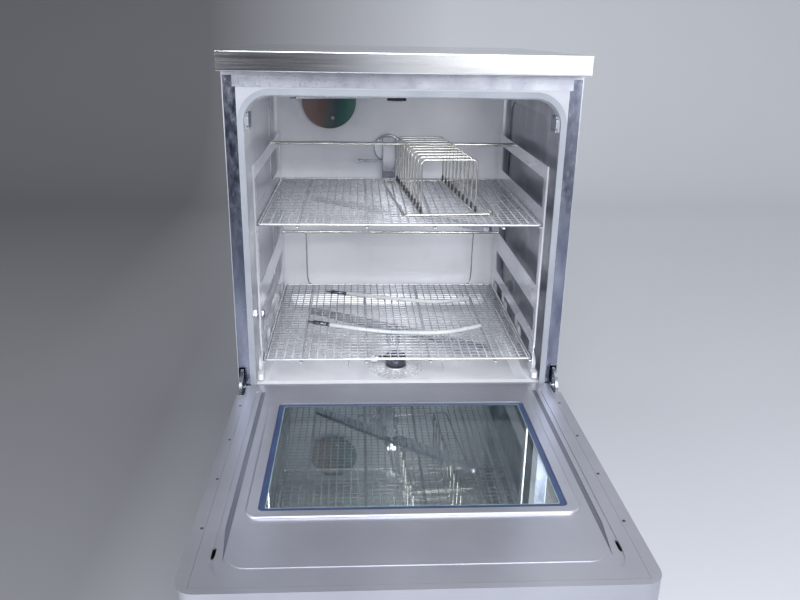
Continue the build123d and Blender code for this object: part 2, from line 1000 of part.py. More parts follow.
export_step(drain_pump.part, "parts/drain_pump.step")

# Two dosing pumps on a bracket at the front left
dosing_places = (-215, -145)
dosing_level = 130
dosing_front = 45
with BuildPart() as dosing_pumps:
    block(-250, -112, dosing_front + 30, dosing_front + 32, base_height + tray_sheet, 170)
    for dosing_x in dosing_places:
        rod((dosing_x, dosing_front, dosing_level), (dosing_x, dosing_front + 30, dosing_level), 30)
        rod(
            (dosing_x, dosing_front - 4, dosing_level),
            (dosing_x, dosing_front, dosing_level),
            12,
        )
dosing_pumps.part.label = "dosing_pumps"
export_step(dosing_pumps.part, "parts/dosing_pumps.step")

# Water inlets with their valves, drain spigot and cable gland, all in the niche
valve_width = 30
valve_length = 40
spigot_nut = 6
with BuildPart() as rear_connections:
    for hole_x in inlet_places:
        block(
            hole_x - valve_width / 2,
            hole_x + valve_width / 2,
            niche_plate_y - valve_length,
            niche_plate_y,
            pipe_level - valve_width / 2,
            pipe_level + valve_width / 2,
        )
        rod(
            (hole_x, niche_plate_y - valve_length / 2, pipe_level + valve_width / 2),
            (hole_x, niche_plate_y - valve_length / 2, pipe_level + valve_width),
            valve_width / 3,
        )
        rod(
            (hole_x, niche_plate_y, pipe_level),
            (hole_x, niche_plate_y + inlet_length, pipe_level),
            inlet_radius,
        )
        rod(
            (hole_x, niche_plate_y, pipe_level),
            (hole_x, niche_plate_y + inlet_length, pipe_level),
            inlet_radius - 3,
            Mode.SUBTRACT,
        )
        with BuildSketch(Plane.XZ.offset(-niche_plate_y - sheet)):
            with Locations((hole_x, pipe_level)):
                RegularPolygon(inlet_radius + 3, 6, major_radius=False)
                Circle(inlet_radius - 3, mode=Mode.SUBTRACT)
        extrude(amount=-spigot_nut)
    for hole_x, outer in ((drain_x, drain_radius), (gland_x, gland_radius)):
        rod(
            (hole_x, niche_plate_y, pipe_level),
            (hole_x, niche_plate_y + drain_length, pipe_level),
            outer,
        )
        rod(
            (hole_x, niche_plate_y, pipe_level),
            (hole_x, niche_plate_y + drain_length, pipe_level),
            outer - 3,
            Mode.SUBTRACT,
        )
        with BuildSketch(Plane.XZ.offset(-niche_plate_y - sheet)):
            with Locations((hole_x, pipe_level)):
                RegularPolygon(outer + 4, 6, major_radius=False)
                Circle(outer - 3, mode=Mode.SUBTRACT)
        extrude(amount=-spigot_nut)
rear_connections.part.label = "rear_connections"
export_step(rear_connections.part, "parts/rear_connections.step")

# Control box at the front right, with its cover and cooling ribs
box_left = 125
box_right = 240
box_front = 55
box_rear = 230
box_top = 205
with BuildPart() as control_box:
    block(box_left, box_right, box_front, box_rear, base_height + tray_sheet, box_top)
    fillet(control_box.edges().filter_by(Axis.Z), 4)
    for rib in range(7):
        rib_y = box_front + 25 + rib * 20
        block(box_left - 3, box_left, rib_y, rib_y + 4, 80, box_top - 25)
control_box.part.label = "control_box"
export_step(control_box.part, "parts/control_box.step")

# Drying blower with its filter box and the flat duct to the baffle disc
duct_half = 40
duct_front = 534
duct_rear = 560
duct_top = 764
duct_floor = 196
duct_roof = 226
blower_front = 330
blower_rear = 430
with BuildPart() as drying_blower:
    block(
        baffle_x - duct_half,
        baffle_x + duct_half,
        blower_front,
        blower_rear,
        base_height + tray_sheet,
        duct_floor,
    )
    block(
        baffle_x - duct_half,
        baffle_x + duct_half,
        blower_rear - 70,
        duct_rear,
        duct_floor,
        duct_roof,
    )
    block(
        baffle_x - duct_half,
        baffle_x + duct_half,
        duct_front,
        duct_rear,
        duct_floor,
        duct_top,
    )
    rod(
        (baffle_x, duct_front, baffle_level),
        (baffle_x, chamber_back, baffle_level),
        air_hole_radius - 0.5,
    )
    block(
        baffle_x - duct_half + sheet,
        baffle_x + duct_half - sheet,
        duct_front + sheet,
        duct_rear - sheet,
        duct_floor + sheet,
        duct_top - sheet,
        Mode.SUBTRACT,
    )
    rod(
        (baffle_x, chamber_back, baffle_level),
        (baffle_x, duct_front + sheet, baffle_level),
        air_hole_radius - 2,
        Mode.SUBTRACT,
    )
    rod(
        (baffle_x, blower_front - 50, 110),
        (baffle_x, blower_front, 110),
        35,
    )
drying_blower.part.label = "drying_blower"
export_step(drying_blower.part, "parts/drying_blower.step")

# Service panel below the open door, a pan with returns to the body
with BuildPart() as service_panel:
    block(-body_half, body_half, -service_panel_depth, 0, toe_height, service_panel_top)
    fillet(service_panel.edges().filter_by(Axis.Z).group_by(Axis.Y)[0], 2)
    block(
        -body_half + sheet,
        body_half - sheet,
        -service_panel_depth + sheet,
        0,
        toe_height + sheet,
        service_panel_top - sheet,
        Mode.SUBTRACT,
    )
service_panel.part.label = "service_panel"
export_step(service_panel.part, "parts/service_panel.step")

# Plinth panel, set back over the toe recess
with BuildPart() as plinth_panel:
    block(-inner_half, inner_half, toe_depth - sheet, toe_depth, plinth_bottom, tray_top)
plinth_panel.part.label = "plinth_panel"
export_step(plinth_panel.part, "parts/plinth_panel.step")

# Screws of the service panel and of the rear panel
panel_screw_radius = 4
with BuildPart() as cabinet_screws:
    for screw_z in (toe_height + 15, service_panel_top - 15):
        for place_x in (-body_half + 18, body_half - 18):
            rod(
                (place_x, -service_panel_depth - 2, screw_z),
                (place_x, -service_panel_depth, screw_z),
                panel_screw_radius,
            )
    for screw_z in (tray_top + 20, machine_height / 2, lid_bottom - 30):
        for place_x in (-inner_half + 15, inner_half - 15):
            rod((place_x, body_depth, screw_z), (place_x, body_depth + 2, screw_z), panel_screw_radius)
cabinet_screws.part.label = "cabinet_screws"
export_step(cabinet_screws.part, "parts/cabinet_screws.step")

# Door lock housings behind the upper corners of the opening
lock_low = lock_level - lock_height / 2
lock_high = lock_level + lock_height / 2
lock_outer_half = lock_inner_half + lock_thickness
lock_rear = 34
lock_guide = 4
with BuildPart() as door_lock:
    pair_block(
        lock_outer_half + 0.3,
        chamber_half,
        sheet,
        lock_rear + lock_guide,
        lock_low - lock_guide,
        lock_high + lock_guide,
    )
    for guide_z in (lock_low - lock_guide, lock_high + 0.3):
        pair_block(
            lock_inner_half,
            lock_outer_half + 0.3,
            sheet + 2,
            lock_rear + lock_guide,
            guide_z,
            guide_z + lock_guide - 0.3,
        )
door_lock.part.label = "door_lock"
export_step(door_lock.part, "parts/door_lock.step")

# Lock bolts, the tabs that slide into the door's slots
with BuildPart() as lock_bolts:
    pair_block(lock_inner_half, lock_outer_half, 0, lock_rear, lock_low, lock_high)
    fillet(lock_bolts.edges().filter_by(Axis.X).group_by(Axis.Y)[0], 3)
lock_bolts.part.label = "lock_bolts"
export_step(lock_bolts.part, "parts/lock_bolts.step")

# Hinge brackets with their pins, fixed behind the posts
bracket_outer = bracket_inner + bracket_thickness
arm_inner = bracket_outer + hinge_play
arm_outer = arm_inner + hinge_arm_thickness
pin_head_inner = arm_outer + hinge_play
pin_head_outer = pin_head_inner + 2
lug_rear = 24
with BuildPart() as hinge_brackets:
    for side in (-1, 1):
        with BuildSketch(Plane.YZ.offset(side * bracket_inner)):
            with Locations((hinge_y, hinge_z)):
                Circle(hinge_hub_radius)
            with Locations(((hinge_y + lug_rear) / 2, hinge_z)):
                Rectangle(lug_rear - hinge_y, 2 * hinge_hub_radius)
        extrude(amount=side * bracket_thickness)
        block(
            min(side * bracket_inner, side * bracket_outer),
            max(side * bracket_inner, side * bracket_outer),
            sheet + 5,
            lug_rear,
            hinge_slot_bottom - 20,
            hinge_slot_top + 20,
        )
        rod(
            (side * bracket_outer, hinge_y, hinge_z),
            (side * pin_head_outer, hinge_y, hinge_z),
            hinge_pin_radius,
        )
        rod(
            (side * pin_head_inner, hinge_y, hinge_z),
            (side * pin_head_outer, hinge_y, hinge_z),
            hinge_pin_radius + 2,
        )
hinge_brackets.part.label = "hinge_brackets"
export_step(hinge_brackets.part, "parts/hinge_brackets.step")

# Hinge arms, curved plates that carry the door and turn on the pins
arm_plate_top = base_plate_bottom
arm_plate_height = 10
tail_arc = ThreePointArc(
    (hinge_y, hinge_z),
    (hinge_y - 3, hinge_z + hinge_tail / 2),
    (hinge_y, hinge_z + hinge_tail),
)
bow_reach = hinge_bow_radius * sin(radians(45))
bow_arc = ThreePointArc(
    (hinge_y, hinge_z + hinge_bow_radius),
    (hinge_y - bow_reach, hinge_z + bow_reach),
    (hinge_y - hinge_bow_radius, hinge_z),
)
with BuildPart() as hinge_arms:
    for side in (-1, 1):
        with BuildSketch(Plane.YZ.offset(side * arm_inner)):
            with Locations((hinge_y, hinge_z)):
                Circle(hinge_hub_radius)
            with Locations((hinge_y - hinge_arm_length / 2, arm_plate_top - arm_plate_height / 2)):
                Rectangle(hinge_arm_length, arm_plate_height)
            SlotArc(tail_arc, hinge_hub_radius)
            SlotArc(bow_arc, hinge_bow_width)
            with Locations((hinge_y, hinge_z)):
                Circle(hinge_pin_radius + running_clearance, mode=Mode.SUBTRACT)
        extrude(amount=side * hinge_arm_thickness)
hinge_arms.part.label = "hinge_arms"
export_step(hinge_arms.part, "parts/hinge_arms.step")


def door_outline(inset, radius):
    """The door in plan, square at the hinge end and rounded at the free end, in a sketch."""
    half = door_half - inset
    rear = door_rear - inset
    front = door_front + inset
    with BuildLine() as edge_line:
        Line((-half, rear), (half, rear))
        Line((half, rear), (half, front + radius))
        RadiusArc((half, front + radius), (half - radius, front), radius)
        Line((half - radius, front), (-half + radius, front))
        RadiusArc((-half + radius, front), (-half, front + radius), radius)
        Line((-half, front + radius), (-half, rear))
    make_face(edge_line.edges())


# Door outer shell with returns round the inner face and notches for the hinges
slot_low = hinge_z + hinge_y - lock_low + lock_slot_margin
slot_high = hinge_z + hinge_y - lock_high - lock_slot_margin
notch_front = door_rear - notch_depth
arm_slot_margin = 0.4
with BuildPart() as door_outer_panel:
    with BuildSketch(Plane.XY.offset(door_bottom)):
        door_outline(0, door_corner_radius)
    extrude(amount=door_thickness)
    rear_top = door_outer_panel.edges().filter_by(Axis.X).group_by(Axis.Y)[-1].sort_by(Axis.Z)[-1]
    fillet(rear_top, hinge_inset - 0.05)
    with BuildSketch(Plane.XY.offset(door_bottom + sheet)):
        door_outline(sheet, door_corner_radius - sheet)
    extrude(amount=door_thickness - 2 * sheet, mode=Mode.SUBTRACT)
    block(
        -door_return_half,
        door_return_half,
        door_front + door_end_return,
        door_rear - door_end_return,
        track_level - sheet,
        track_level,
        Mode.SUBTRACT,
    )
    for side in (-1, 1):
        wall_in = side * (notch_half - sheet)
        wall_out = side * door_half
        block(
            min(wall_in, wall_out),
            max(wall_in, wall_out),
            notch_front - sheet,
            door_rear - sheet,
            door_bottom + sheet,
            track_level - sheet,
        )
        notch_in = side * notch_half
        notch_out = side * (door_half + 1)
        block(
            min(notch_in, notch_out),
            max(notch_in, notch_out),
            notch_front,
            door_rear,
            door_bottom,
            track_level,
            Mode.SUBTRACT,
        )
        slot_in = side * (arm_inner - arm_slot_margin)
        slot_out = side * (arm_outer + arm_slot_margin)
        block(
            min(slot_in, slot_out),
            max(slot_in, slot_out),
            notch_front - sheet,
            notch_front,
            arm_plate_top - arm_plate_height - arm_slot_margin,
            base_plate_top,
            Mode.SUBTRACT,
        )
        for screw_y in screw_places:
            rod(
                (side * screw_x, -screw_y, track_level - sheet),
                (side * screw_x, -screw_y, track_level),
                screw_shank_radius + 0.1,
                Mode.SUBTRACT,
            )
    with BuildSketch(Plane.XY.offset(door_bottom)):
        outline(
            glass_half + glass_clearance,
            glass_rear - glass_clearance,
            glass_front + glass_clearance,
            slot_radius + glass_clearance,
        )
    extrude(amount=sheet, mode=Mode.SUBTRACT)
    block(
        -display_half - 5,
        key_places[-1] + 2 * key_radius,
        -display_front - 5,
        -display_rear + 5,
        door_bottom,
        door_bottom + sheet,
        Mode.SUBTRACT,
    )
door_outer_panel.part.label = "door_outer_panel"
export_step(door_outer_panel.part, "parts/door_outer_panel.step")

# Door inner panel, pressed sheet with a raised frame round the window
panel_front = door_front + door_end_return + panel_clearance
panel_rear = door_rear - door_end_return - panel_clearance
plateau_rise = 0.8
plateau_half = 245
plateau_rear = 45
plateau_front = 519
plateau_radius = 30
guide_groove_x = 260.5
guide_groove_width = 3
guide_groove_rear = 30
guide_groove_front = 476
wide_groove_x = 249.5
wide_groove_width = 7.5
wide_groove_rear = 30
wide_groove_front = 440
wide_groove_tip = 508
groove_depth = 1.2
slot_width = lock_thickness + 2 * lock_slot_margin
slot_x = lock_inner_half + lock_thickness / 2
dimple_front = 531
dimple_width = 3.6
with BuildPart() as door_inner_panel:
    block(-panel_half, panel_half, panel_front, panel_rear, base_plate_top, track_level)
    block(
        -arm_inner - 3,
        arm_inner + 3,
        door_front + door_corner_radius,
        notch_front - 2 * sheet,
        base_plate_bottom,
        base_plate_top,
    )
    with BuildSketch(Plane.XY.offset(track_level)):
        outline(plateau_half, plateau_rear, plateau_front, plateau_radius)
    extrude(amount=plateau_rise)
    with BuildSketch(Plane.XY.offset(track_level)):
        outline(
            window_half + frame_border_x,
            window_rear - frame_border_y,
            window_front + frame_border_y,
            frame_corner_radius,
        )
    extrude(amount=frame_rise)
    fillet(door_inner_panel.edges().group_by(Axis.Z)[-1], 3)
    with BuildSketch(Plane.XY.offset(base_plate_bottom)):
        outline(
            glass_half + glass_clearance,
            glass_rear - glass_clearance,
            glass_front + glass_clearance,
            slot_radius + glass_clearance,
        )
    extrude(amount=glass_top - base_plate_bottom, mode=Mode.SUBTRACT)
    with BuildSketch(Plane.XY.offset(glass_top)):
        outline(window_half, window_rear, window_front, window_radius)
    extrude(amount=frame_rise, mode=Mode.SUBTRACT)
    for side in (-1, 1):
        with BuildSketch(Plane.XY.offset(track_level - groove_depth)):
            with Locations((side * guide_groove_x, -(guide_groove_rear + guide_groove_front) / 2)):
                Rectangle(guide_groove_width, guide_groove_front - guide_groove_rear)
            with BuildLine():
                groove_inner = side * (wide_groove_x - wide_groove_width / 2)
                groove_outer = side * (wide_groove_x + wide_groove_width / 2)
                Polyline(
                    (groove_inner, -wide_groove_rear),
                    (groove_outer, -wide_groove_rear),
                    (groove_outer, -wide_groove_front),
                    (groove_inner, -wide_groove_tip),
                    close=True,
                )
            make_face()
        extrude(amount=groove_depth, mode=Mode.SUBTRACT)
        dimple_arc = ThreePointArc(
            (side * slot_x, slot_high + slot_width / 2),
            (side * (slot_x - 2), (slot_high - dimple_front) / 2),
            (side * (slot_x - 9), -dimple_front + dimple_width / 2),
        )
        with BuildSketch(Plane.XY.offset(track_level - groove_depth)):
            SlotArc(dimple_arc, dimple_width)
        extrude(amount=groove_depth, mode=Mode.SUBTRACT)
        with BuildSketch(Plane.XY.offset(base_plate_bottom)):
            with Locations((side * slot_x, (slot_low + slot_high) / 2)):
                SlotOverall(slot_low - slot_high + slot_width / 2, slot_width, rotation=90)
        extrude(amount=track_level - base_plate_bottom, mode=Mode.SUBTRACT)
        for screw_y in screw_places:
            rod(
                (side * screw_x, -screw_y, base_plate_bottom),
                (side * screw_x, -screw_y, base_plate_top),
                screw_shank_radius + 0.1,
                Mode.SUBTRACT,
            )
door_inner_panel.part.label = "door_inner_panel"
export_step(door_inner_panel.part, "parts/door_inner_panel.step")

# Window: inner pane under the lip, spacer frame and outer pane flush with the shell
spacer_low = door_bottom + glass_thickness
spacer_high = glass_top - glass_thickness
with BuildPart() as inner_window:
    with BuildSketch(Plane.XY.offset(spacer_high)):
        outline(glass_half, glass_rear, glass_front, slot_radius)
    extrude(amount=glass_thickness)
inner_window.part.label = "inner_window"
export_step(inner_window.part, "parts/inner_window.step")

with BuildPart() as window_spacer:
    with BuildSketch(Plane.XY.offset(spacer_low)):
        outline(glass_half, glass_rear, glass_front, slot_radius)
        with BuildSketch(mode=Mode.SUBTRACT):
            outline(
                glass_half - spacer_width,
                glass_rear + spacer_width,
                glass_front - spacer_width,
                slot_radius - spacer_width / 2,
            )
    extrude(amount=spacer_high - spacer_low)
window_spacer.part.label = "window_spacer"
export_step(window_spacer.part, "parts/window_spacer.step")

with BuildPart() as outer_window:
    with BuildSketch(Plane.XY.offset(door_bottom)):
        outline(glass_half, glass_rear, glass_front, slot_radius)
    extrude(amount=glass_thickness)
outer_window.part.label = "outer_window"
export_step(outer_window.part, "parts/outer_window.step")

# Screws that hold the inner panel to the shell's returns
with BuildPart() as door_screws:
    for side in (-1, 1):
        for screw_y in screw_places:
            rod(
                (side * screw_x, -screw_y, track_level),
                (side * screw_x, -screw_y, track_level + screw_head_height),
                screw_head_radius,
            )
            rod(
                (side * screw_x, -screw_y, base_plate_bottom - 4),
                (side * screw_x, -screw_y, track_level),
                screw_shank_radius,
            )
door_screws.part.label = "door_screws"
export_step(door_screws.part, "parts/door_screws.step")

# Bar handle on the outer face
handle_bar_level = door_bottom - handle_drop
handle_post_x = handle_half - 20
with BuildPart() as door_handle:
    rod(
        (-handle_half, -handle_y, handle_bar_level),
        (handle_half, -handle_y, handle_bar_level),
        handle_radius,
    )
    fillet(door_handle.edges(), 3)
    for post_x in (-handle_post_x, handle_post_x):
        rod((post_x, -handle_y, handle_bar_level), (post_x, -handle_y, door_bottom), handle_radius - 2)
door_handle.part.label = "door_handle"
export_step(door_handle.part, "parts/door_handle.step")

# Control fascia on the outer face, with openings for the display and the keys
fascia_bottom = door_bottom - fascia_thickness
with BuildPart() as control_fascia:
    with BuildSketch(Plane.XY.offset(fascia_bottom)):
        outline(fascia_half, fascia_rear, fascia_front, 8)
        with Locations((0, -(display_rear + display_front) / 2)):
            Rectangle(2 * display_half, display_front - display_rear, mode=Mode.SUBTRACT)
        for place_x in key_places:
            with Locations((place_x, -key_y)):
                Circle(key_radius + key_clearance, mode=Mode.SUBTRACT)
    extrude(amount=fascia_thickness)
control_fascia.part.label = "control_fascia"
export_step(control_fascia.part, "parts/control_fascia.step")

# Display module behind the fascia, with the board that the keys press on
key_flange_thickness = 1.5
board_bottom = door_bottom + 0.2 + key_flange_thickness + key_travel + 0.3
with BuildPart() as display_module:
    block(
        -display_half + 0.3,
        display_half - 0.3,
        -display_front + 0.3,
        -display_rear - 0.3,
        fascia_bottom + 0.3,
        door_bottom,
    )
    block(
        -display_half - 4,
        display_half + 4,
        -display_front - 4,
        -display_rear + 4,
        door_bottom,
        board_bottom,
    )
    block(
        -display_half - 4,
        key_places[-1] + key_radius,
        -display_front - 4,
        -display_rear + 4,
        board_bottom,
        board_bottom + 1.6,
    )
display_module.part.label = "display_module"
export_step(display_module.part, "parts/display_module.step")

# Three keys, each with a flange behind the fascia
for key_name, place_x in zip(key_names, key_places):
    with BuildPart() as key:
        rod(
            (place_x, -key_y, fascia_bottom - key_travel),
            (place_x, -key_y, door_bottom + 0.2),
            key_radius,
        )
        fillet(key.edges().group_by(Axis.Z)[0], 0.8)
        rod(
            (place_x, -key_y, door_bottom + 0.2),
            (place_x, -key_y, door_bottom + 0.2 + key_flange_thickness),
            key_radius + 2,
        )
    key.part.label = key_name
    export_step(key.part, f"parts/{key_name}.step")

# Trolley side frames: sheet with windows, roller tabs, shelf ledges, axles and bumper seats
window_front_y = 43
window_rear_y = 455
side_windows = ((584, 638), (436, 545), (344, 390))
side_window_radius = 6
roller_tab_half = 12
ledge_thickness = 1.5
axle_head = 1
with BuildPart() as trolley_sides:
    for side in (-1, 1):
        with BuildSketch(Plane.YZ.offset(side * frame_half)):
            with Locations(((frame_front + frame_rear) / 2, (frame_bottom + frame_top) / 2)):
                Rectangle(frame_rear - frame_front, frame_top - frame_bottom)
            with Locations(((window_rear_y + window_front_y) / 2, 0)):
                for z_low, z_high in side_windows:
                    with Locations((0, (z_low + z_high) / 2)):
                        RectangleRounded(
                            window_rear_y - window_front_y,
                            z_high - z_low,
                            side_window_radius,
                            mode=Mode.SUBTRACT,
                        )
            with Locations((frame_front, frame_foot_bottom)):
                Rectangle(
                    roller_places[0] + roller_tab_half - frame_front,
                    frame_bottom - frame_foot_bottom,
                    align=(Align.MIN, Align.MIN),
                )
            for axle_y in roller_places[1:]:
                with Locations((axle_y, roller_level)):
                    Circle(roller_tab_half)
                with Locations((axle_y, roller_level)):
                    Rectangle(
                        2 * roller_tab_half,
                        frame_bottom - roller_level,
                        align=(Align.CENTER, Align.MIN),
                    )
        extrude(amount=side * sheet)
        for axle_y in roller_places:
            rod(
                (side * (frame_half + sheet), axle_y, roller_level),
                (side * (roller_inner + roller_thickness + axle_head + 0.3), axle_y, roller_level),
                axle_radius,
            )
    pair_block(
        frame_half,
        frame_hem_half,
        frame_front,
        frame_front + sheet,
        frame_bottom,
        frame_top,
    )
    for shelf_level in (upper_shelf_level, lower_shelf_level):
        pair_block(
            frame_half - shelf_ledge,
            frame_half,
            frame_front,
            shelf_rear,
            shelf_level - shelf_frame_bar / 2 - ledge_thickness,
            shelf_level - shelf_frame_bar / 2,
        )
trolley_sides.part.label = "trolley_sides"
export_step(trolley_sides.part, "parts/trolley_sides.step")

# White bumpers at the front corners of the trolley
bumper_inner = 254
bumper_outer = 264.5
bumper_front = 8
bumper_height = 11.5
bumper_clear = 0.5
with BuildPart() as trolley_bumpers:
    pair_block(
        bumper_inner,
        bumper_outer,
        bumper_front,
        frame_front,
        frame_foot_bottom - bumper_clear,
        frame_foot_bottom - bumper_clear + bumper_height,
    )
    fillet(trolley_bumpers.edges().filter_by(Axis.Z).group_by(Axis.Y)[0], 3)
trolley_bumpers.part.label = "trolley_bumpers"
export_step(trolley_bumpers.part, "parts/trolley_bumpers.step")

# Cross rods between the side frames
with BuildPart() as trolley_cross_rods:
    for rod_y, rod_level in ((upper_rod_y, upper_rod_level), (lower_rod_y, lower_rod_level)):
        rod((-frame_half, rod_y, rod_level), (frame_half, rod_y, rod_level), rod_radius)
trolley_cross_rods.part.label = "trolley_cross_rods"
export_step(trolley_cross_rods.part, "parts/trolley_cross_rods.step")

# Four axle pairs of rollers, one roller on each side
for number, axle_y in enumerate(roller_places, start=1):
    with BuildPart() as rollers:
        for side in (-1, 1):
            with BuildSketch(Plane.YZ.offset(side * roller_inner)):
                with Locations((axle_y, roller_level)):
                    Circle(roller_radius)
                    Circle(axle_radius + running_clearance, mode=Mode.SUBTRACT)
            extrude(amount=side * roller_thickness)
    rollers.part.label = f"roller_pair_{number}"
    export_step(rollers.part, f"parts/roller_pair_{number}.step")


def wire_shelf(level):
    """A wire shelf: a frame of bars, a mesh and four bearers under the mesh."""
    bar = shelf_frame_bar
    clear_width = 2 * (shelf_half - bar)
    clear_length = shelf_length - 2 * bar
    pitch_x = clear_width / mesh_gaps_across
    pitch_y = clear_length / mesh_gaps_along
    with BuildPart() as shelf:
        with BuildSketch(Plane.XY.offset(level - bar / 2)):
            with Locations((0, shelf_mid_y)):
                Rectangle(2 * shelf_half, shelf_length)
                Rectangle(clear_width, clear_length, mode=Mode.SUBTRACT)
        extrude(amount=bar)
        with BuildSketch(Plane.XY.offset(level - mesh_wire / 2)):
            with Locations((0, shelf_mid_y)):
                Rectangle(clear_width, clear_length)
                with GridLocations(pitch_x, pitch_y, mesh_gaps_across, mesh_gaps_along):
                    Rectangle(pitch_x - mesh_wire, pitch_y - mesh_wire, mode=Mode.SUBTRACT)
        extrude(amount=mesh_wire)
        for bearer_x in bearer_places:
            block(
                bearer_x - mesh_wire,
                bearer_x + mesh_wire,
                frame_front,
                shelf_rear,
                level - bar / 2,
                level - mesh_wire / 2,
            )
    return shelf


# Upper and lower shelf
bearer_places = (-185, -61, 61, 185)
upper_shelf = wire_shelf(upper_shelf_level)
upper_shelf.part.label = "upper_shelf"
export_step(upper_shelf.part, "parts/upper_shelf.step")
lower_shelf = wire_shelf(lower_shelf_level)
lower_shelf.part.label = "lower_shelf"
export_step(lower_shelf.part, "parts/lower_shelf.step")

# Feed duct with its spigot, side nozzle, pipe under the upper shelf and middle spindle
feed_pipe_top = upper_shelf_level - shelf_frame_bar / 2
feed_pipe_height = 12
feed_pipe_half = 9
feed_pipe_bottom = feed_pipe_top - feed_pipe_height
spigot_radius = 14
nozzle_tube_radius = 3
nozzle_tip_radius = 4.5
nozzle_tube_length = 47
nozzle_tip_length = 10
middle_hub_top = middle_arm_level + arm_thickness
with BuildPart() as feed_duct:
    block(
        feed_duct_left,
        feed_duct_right,
        feed_duct_front,
        feed_duct_rear,
        feed_pipe_bottom,
        feed_duct_top,
    )
    fillet(feed_duct.edges().filter_by(Axis.Z), 3)
    rod(
        (port_x, feed_duct_rear, port_level),
        (port_x, port_front + port_length / 2, port_level),
        spigot_radius,
    )
    nozzle_y = (feed_duct_front + feed_duct_rear) / 2
    rod(
        (feed_duct_left, nozzle_y, nozzle_level),
        (feed_duct_left - nozzle_tube_length, nozzle_y, nozzle_level),
        nozzle_tube_radius,
    )
    rod(
        (feed_duct_left - nozzle_tube_length, nozzle_y, nozzle_level),
        (feed_duct_left - nozzle_tube_length - nozzle_tip_length, nozzle_y, nozzle_level),
        nozzle_tip_radius,
    )
    block(
        -feed_pipe_half,
        feed_pipe_half,
        middle_arm_y - feed_pipe_half,
        feed_duct_front,
        feed_pipe_bottom,
        feed_pipe_top,
    )
    rod(
        (0, middle_arm_y, feed_pipe_bottom),
        (0, middle_arm_y, middle_hub_top + end_play),
        column_radius,
    )
    rod(
        (0, middle_arm_y, middle_hub_top + end_play),
        (0, middle_arm_y, middle_arm_level - end_play),
        spindle_radius,
    )
    rod(
        (0, middle_arm_y, middle_arm_level - end_play),
        (0, middle_arm_y, middle_arm_level - end_play - spindle_cap_height),
        spindle_cap_radius,
    )
feed_duct.part.label = "feed_duct"
export_step(feed_duct.part, "parts/feed_duct.step")

# Plate rack: base rods with a row of bent wire hoops, turned a little on its shelf
rack_level = upper_shelf_level + mesh_wire / 2 + hose_lift + rack_frame_radius
with BuildPart() as rack_straight:
    half_x = rack_width / 2
    half_y = rack_length / 2
    with BuildLine() as frame_line:
        FilletPolyline(
            (half_x, -half_y, rack_level),
            (half_x, half_y, rack_level),
            (-half_x, half_y, rack_level),
            (-half_x, -half_y, rack_level),
            radius=rack_corner_radius,
            close=True,
        )
    with BuildSketch(Plane(origin=frame_line.line @ 0, z_dir=frame_line.line % 0)):
        Circle(rack_frame_radius)
    sweep(path=frame_line.line)
    for rail_x in (-rack_hoop_width / 2, rack_hoop_width / 2):
        rod((rail_x, -half_y, rack_level), (rail_x, half_y, rack_level), rack_rail_radius)
    hoop_top = rack_level + rack_hoop_height - rack_wire_radius
    hoop_pitch = rack_hoop_span / (rack_hoop_count - 1)
    for number in range(rack_hoop_count):
        hoop_y = number * hoop_pitch - rack_hoop_span / 2
        with BuildLine() as hoop_line:
            FilletPolyline(
                (-rack_hoop_width / 2, hoop_y, rack_level),
                (-rack_hoop_width / 2, hoop_y, hoop_top),
                (rack_hoop_width / 2, hoop_y, hoop_top),
                (rack_hoop_width / 2, hoop_y, rack_level),
                radius=rack_hoop_radius,
            )
        with BuildSketch(Plane(origin=hoop_line.line @ 0, z_dir=hoop_line.line % 0)):
            Circle(rack_wire_radius)
        sweep(path=hoop_line.line)
plate_rack = placed(rack_straight.part, rack_centre_x, rack_centre_y, rack_turn, "plate_rack")
export_step(plate_rack, "parts/plate_rack.step")

hose_level = lower_shelf_level + mesh_wire / 2 + hose_lift + hose_radius
connector_radius = 4.5
connector_length = 48
prong_length = 14


def corner_radii(points):
    """The widest arc for each corner that its two straight runs leave room for."""
    radii = []
    for before, corner, after in zip(points, points[1:], points[2:]):
        run_in = Vector(*corner) - Vector(*before)
        run_out = Vector(*after) - Vector(*corner)
        turn = radians(run_in.get_angle(run_out))
        radii.append(0.45 * min(run_in.length, run_out.length) / tan(turn / 2))
    return radii


def hose(plan_points, name):
    """A loose hose lying on the lower shelf along its route."""
    points = [(x, y, hose_level) for x, y in plan_points]
    radii = corner_radii(points)
    print(name, "radii", [round(radius) for radius in radii])
    with BuildPart() as tube:
        with BuildLine() as route:
            FilletPolyline(*points, radius=radii)
        with BuildSketch(Plane(origin=route.line @ 0, z_dir=route.line % 0)):
            Circle(hose_radius)
        sweep(path=route.line)
    length = sum(edge.length for edge in route.edges())
    section = pi * hose_radius**2
    print(name, "length", round(length))
    print(name, "volume over section times length", round(tube.part.volume / (section * length), 4))
    tube.part.label = name
    export_step(tube.part, f"parts/{name}.step")


# Two loose hoses and the metal connectors on their left ends
hose(hose_1_points, "hose_rear")
hose(hose_2_points, "hose_front")
with BuildPart() as hose_connectors:
    for plan_points in (hose_1_points, hose_2_points):
        first = Vector(*plan_points[0], hose_level)
        heading = (first - Vector(*plan_points[1], hose_level)).normalized()
        body_end = first + heading * (connector_length - prong_length)
        rod(tuple(first), tuple(body_end), connector_radius)
        side_step = heading.cross(Vector(0, 0, 1)) * (connector_radius / 2)
        for sign in (-1, 1):
            prong = body_end + side_step * sign
            rod(tuple(prong - heading * 2), tuple(prong + heading * prong_length), 1.2)
hose_connectors.part.label = "hose_connectors"
export_step(hose_connectors.part, "parts/hose_connectors.step")
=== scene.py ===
import json
import math

import bmesh
import bpy
from mathutils import Matrix, Vector

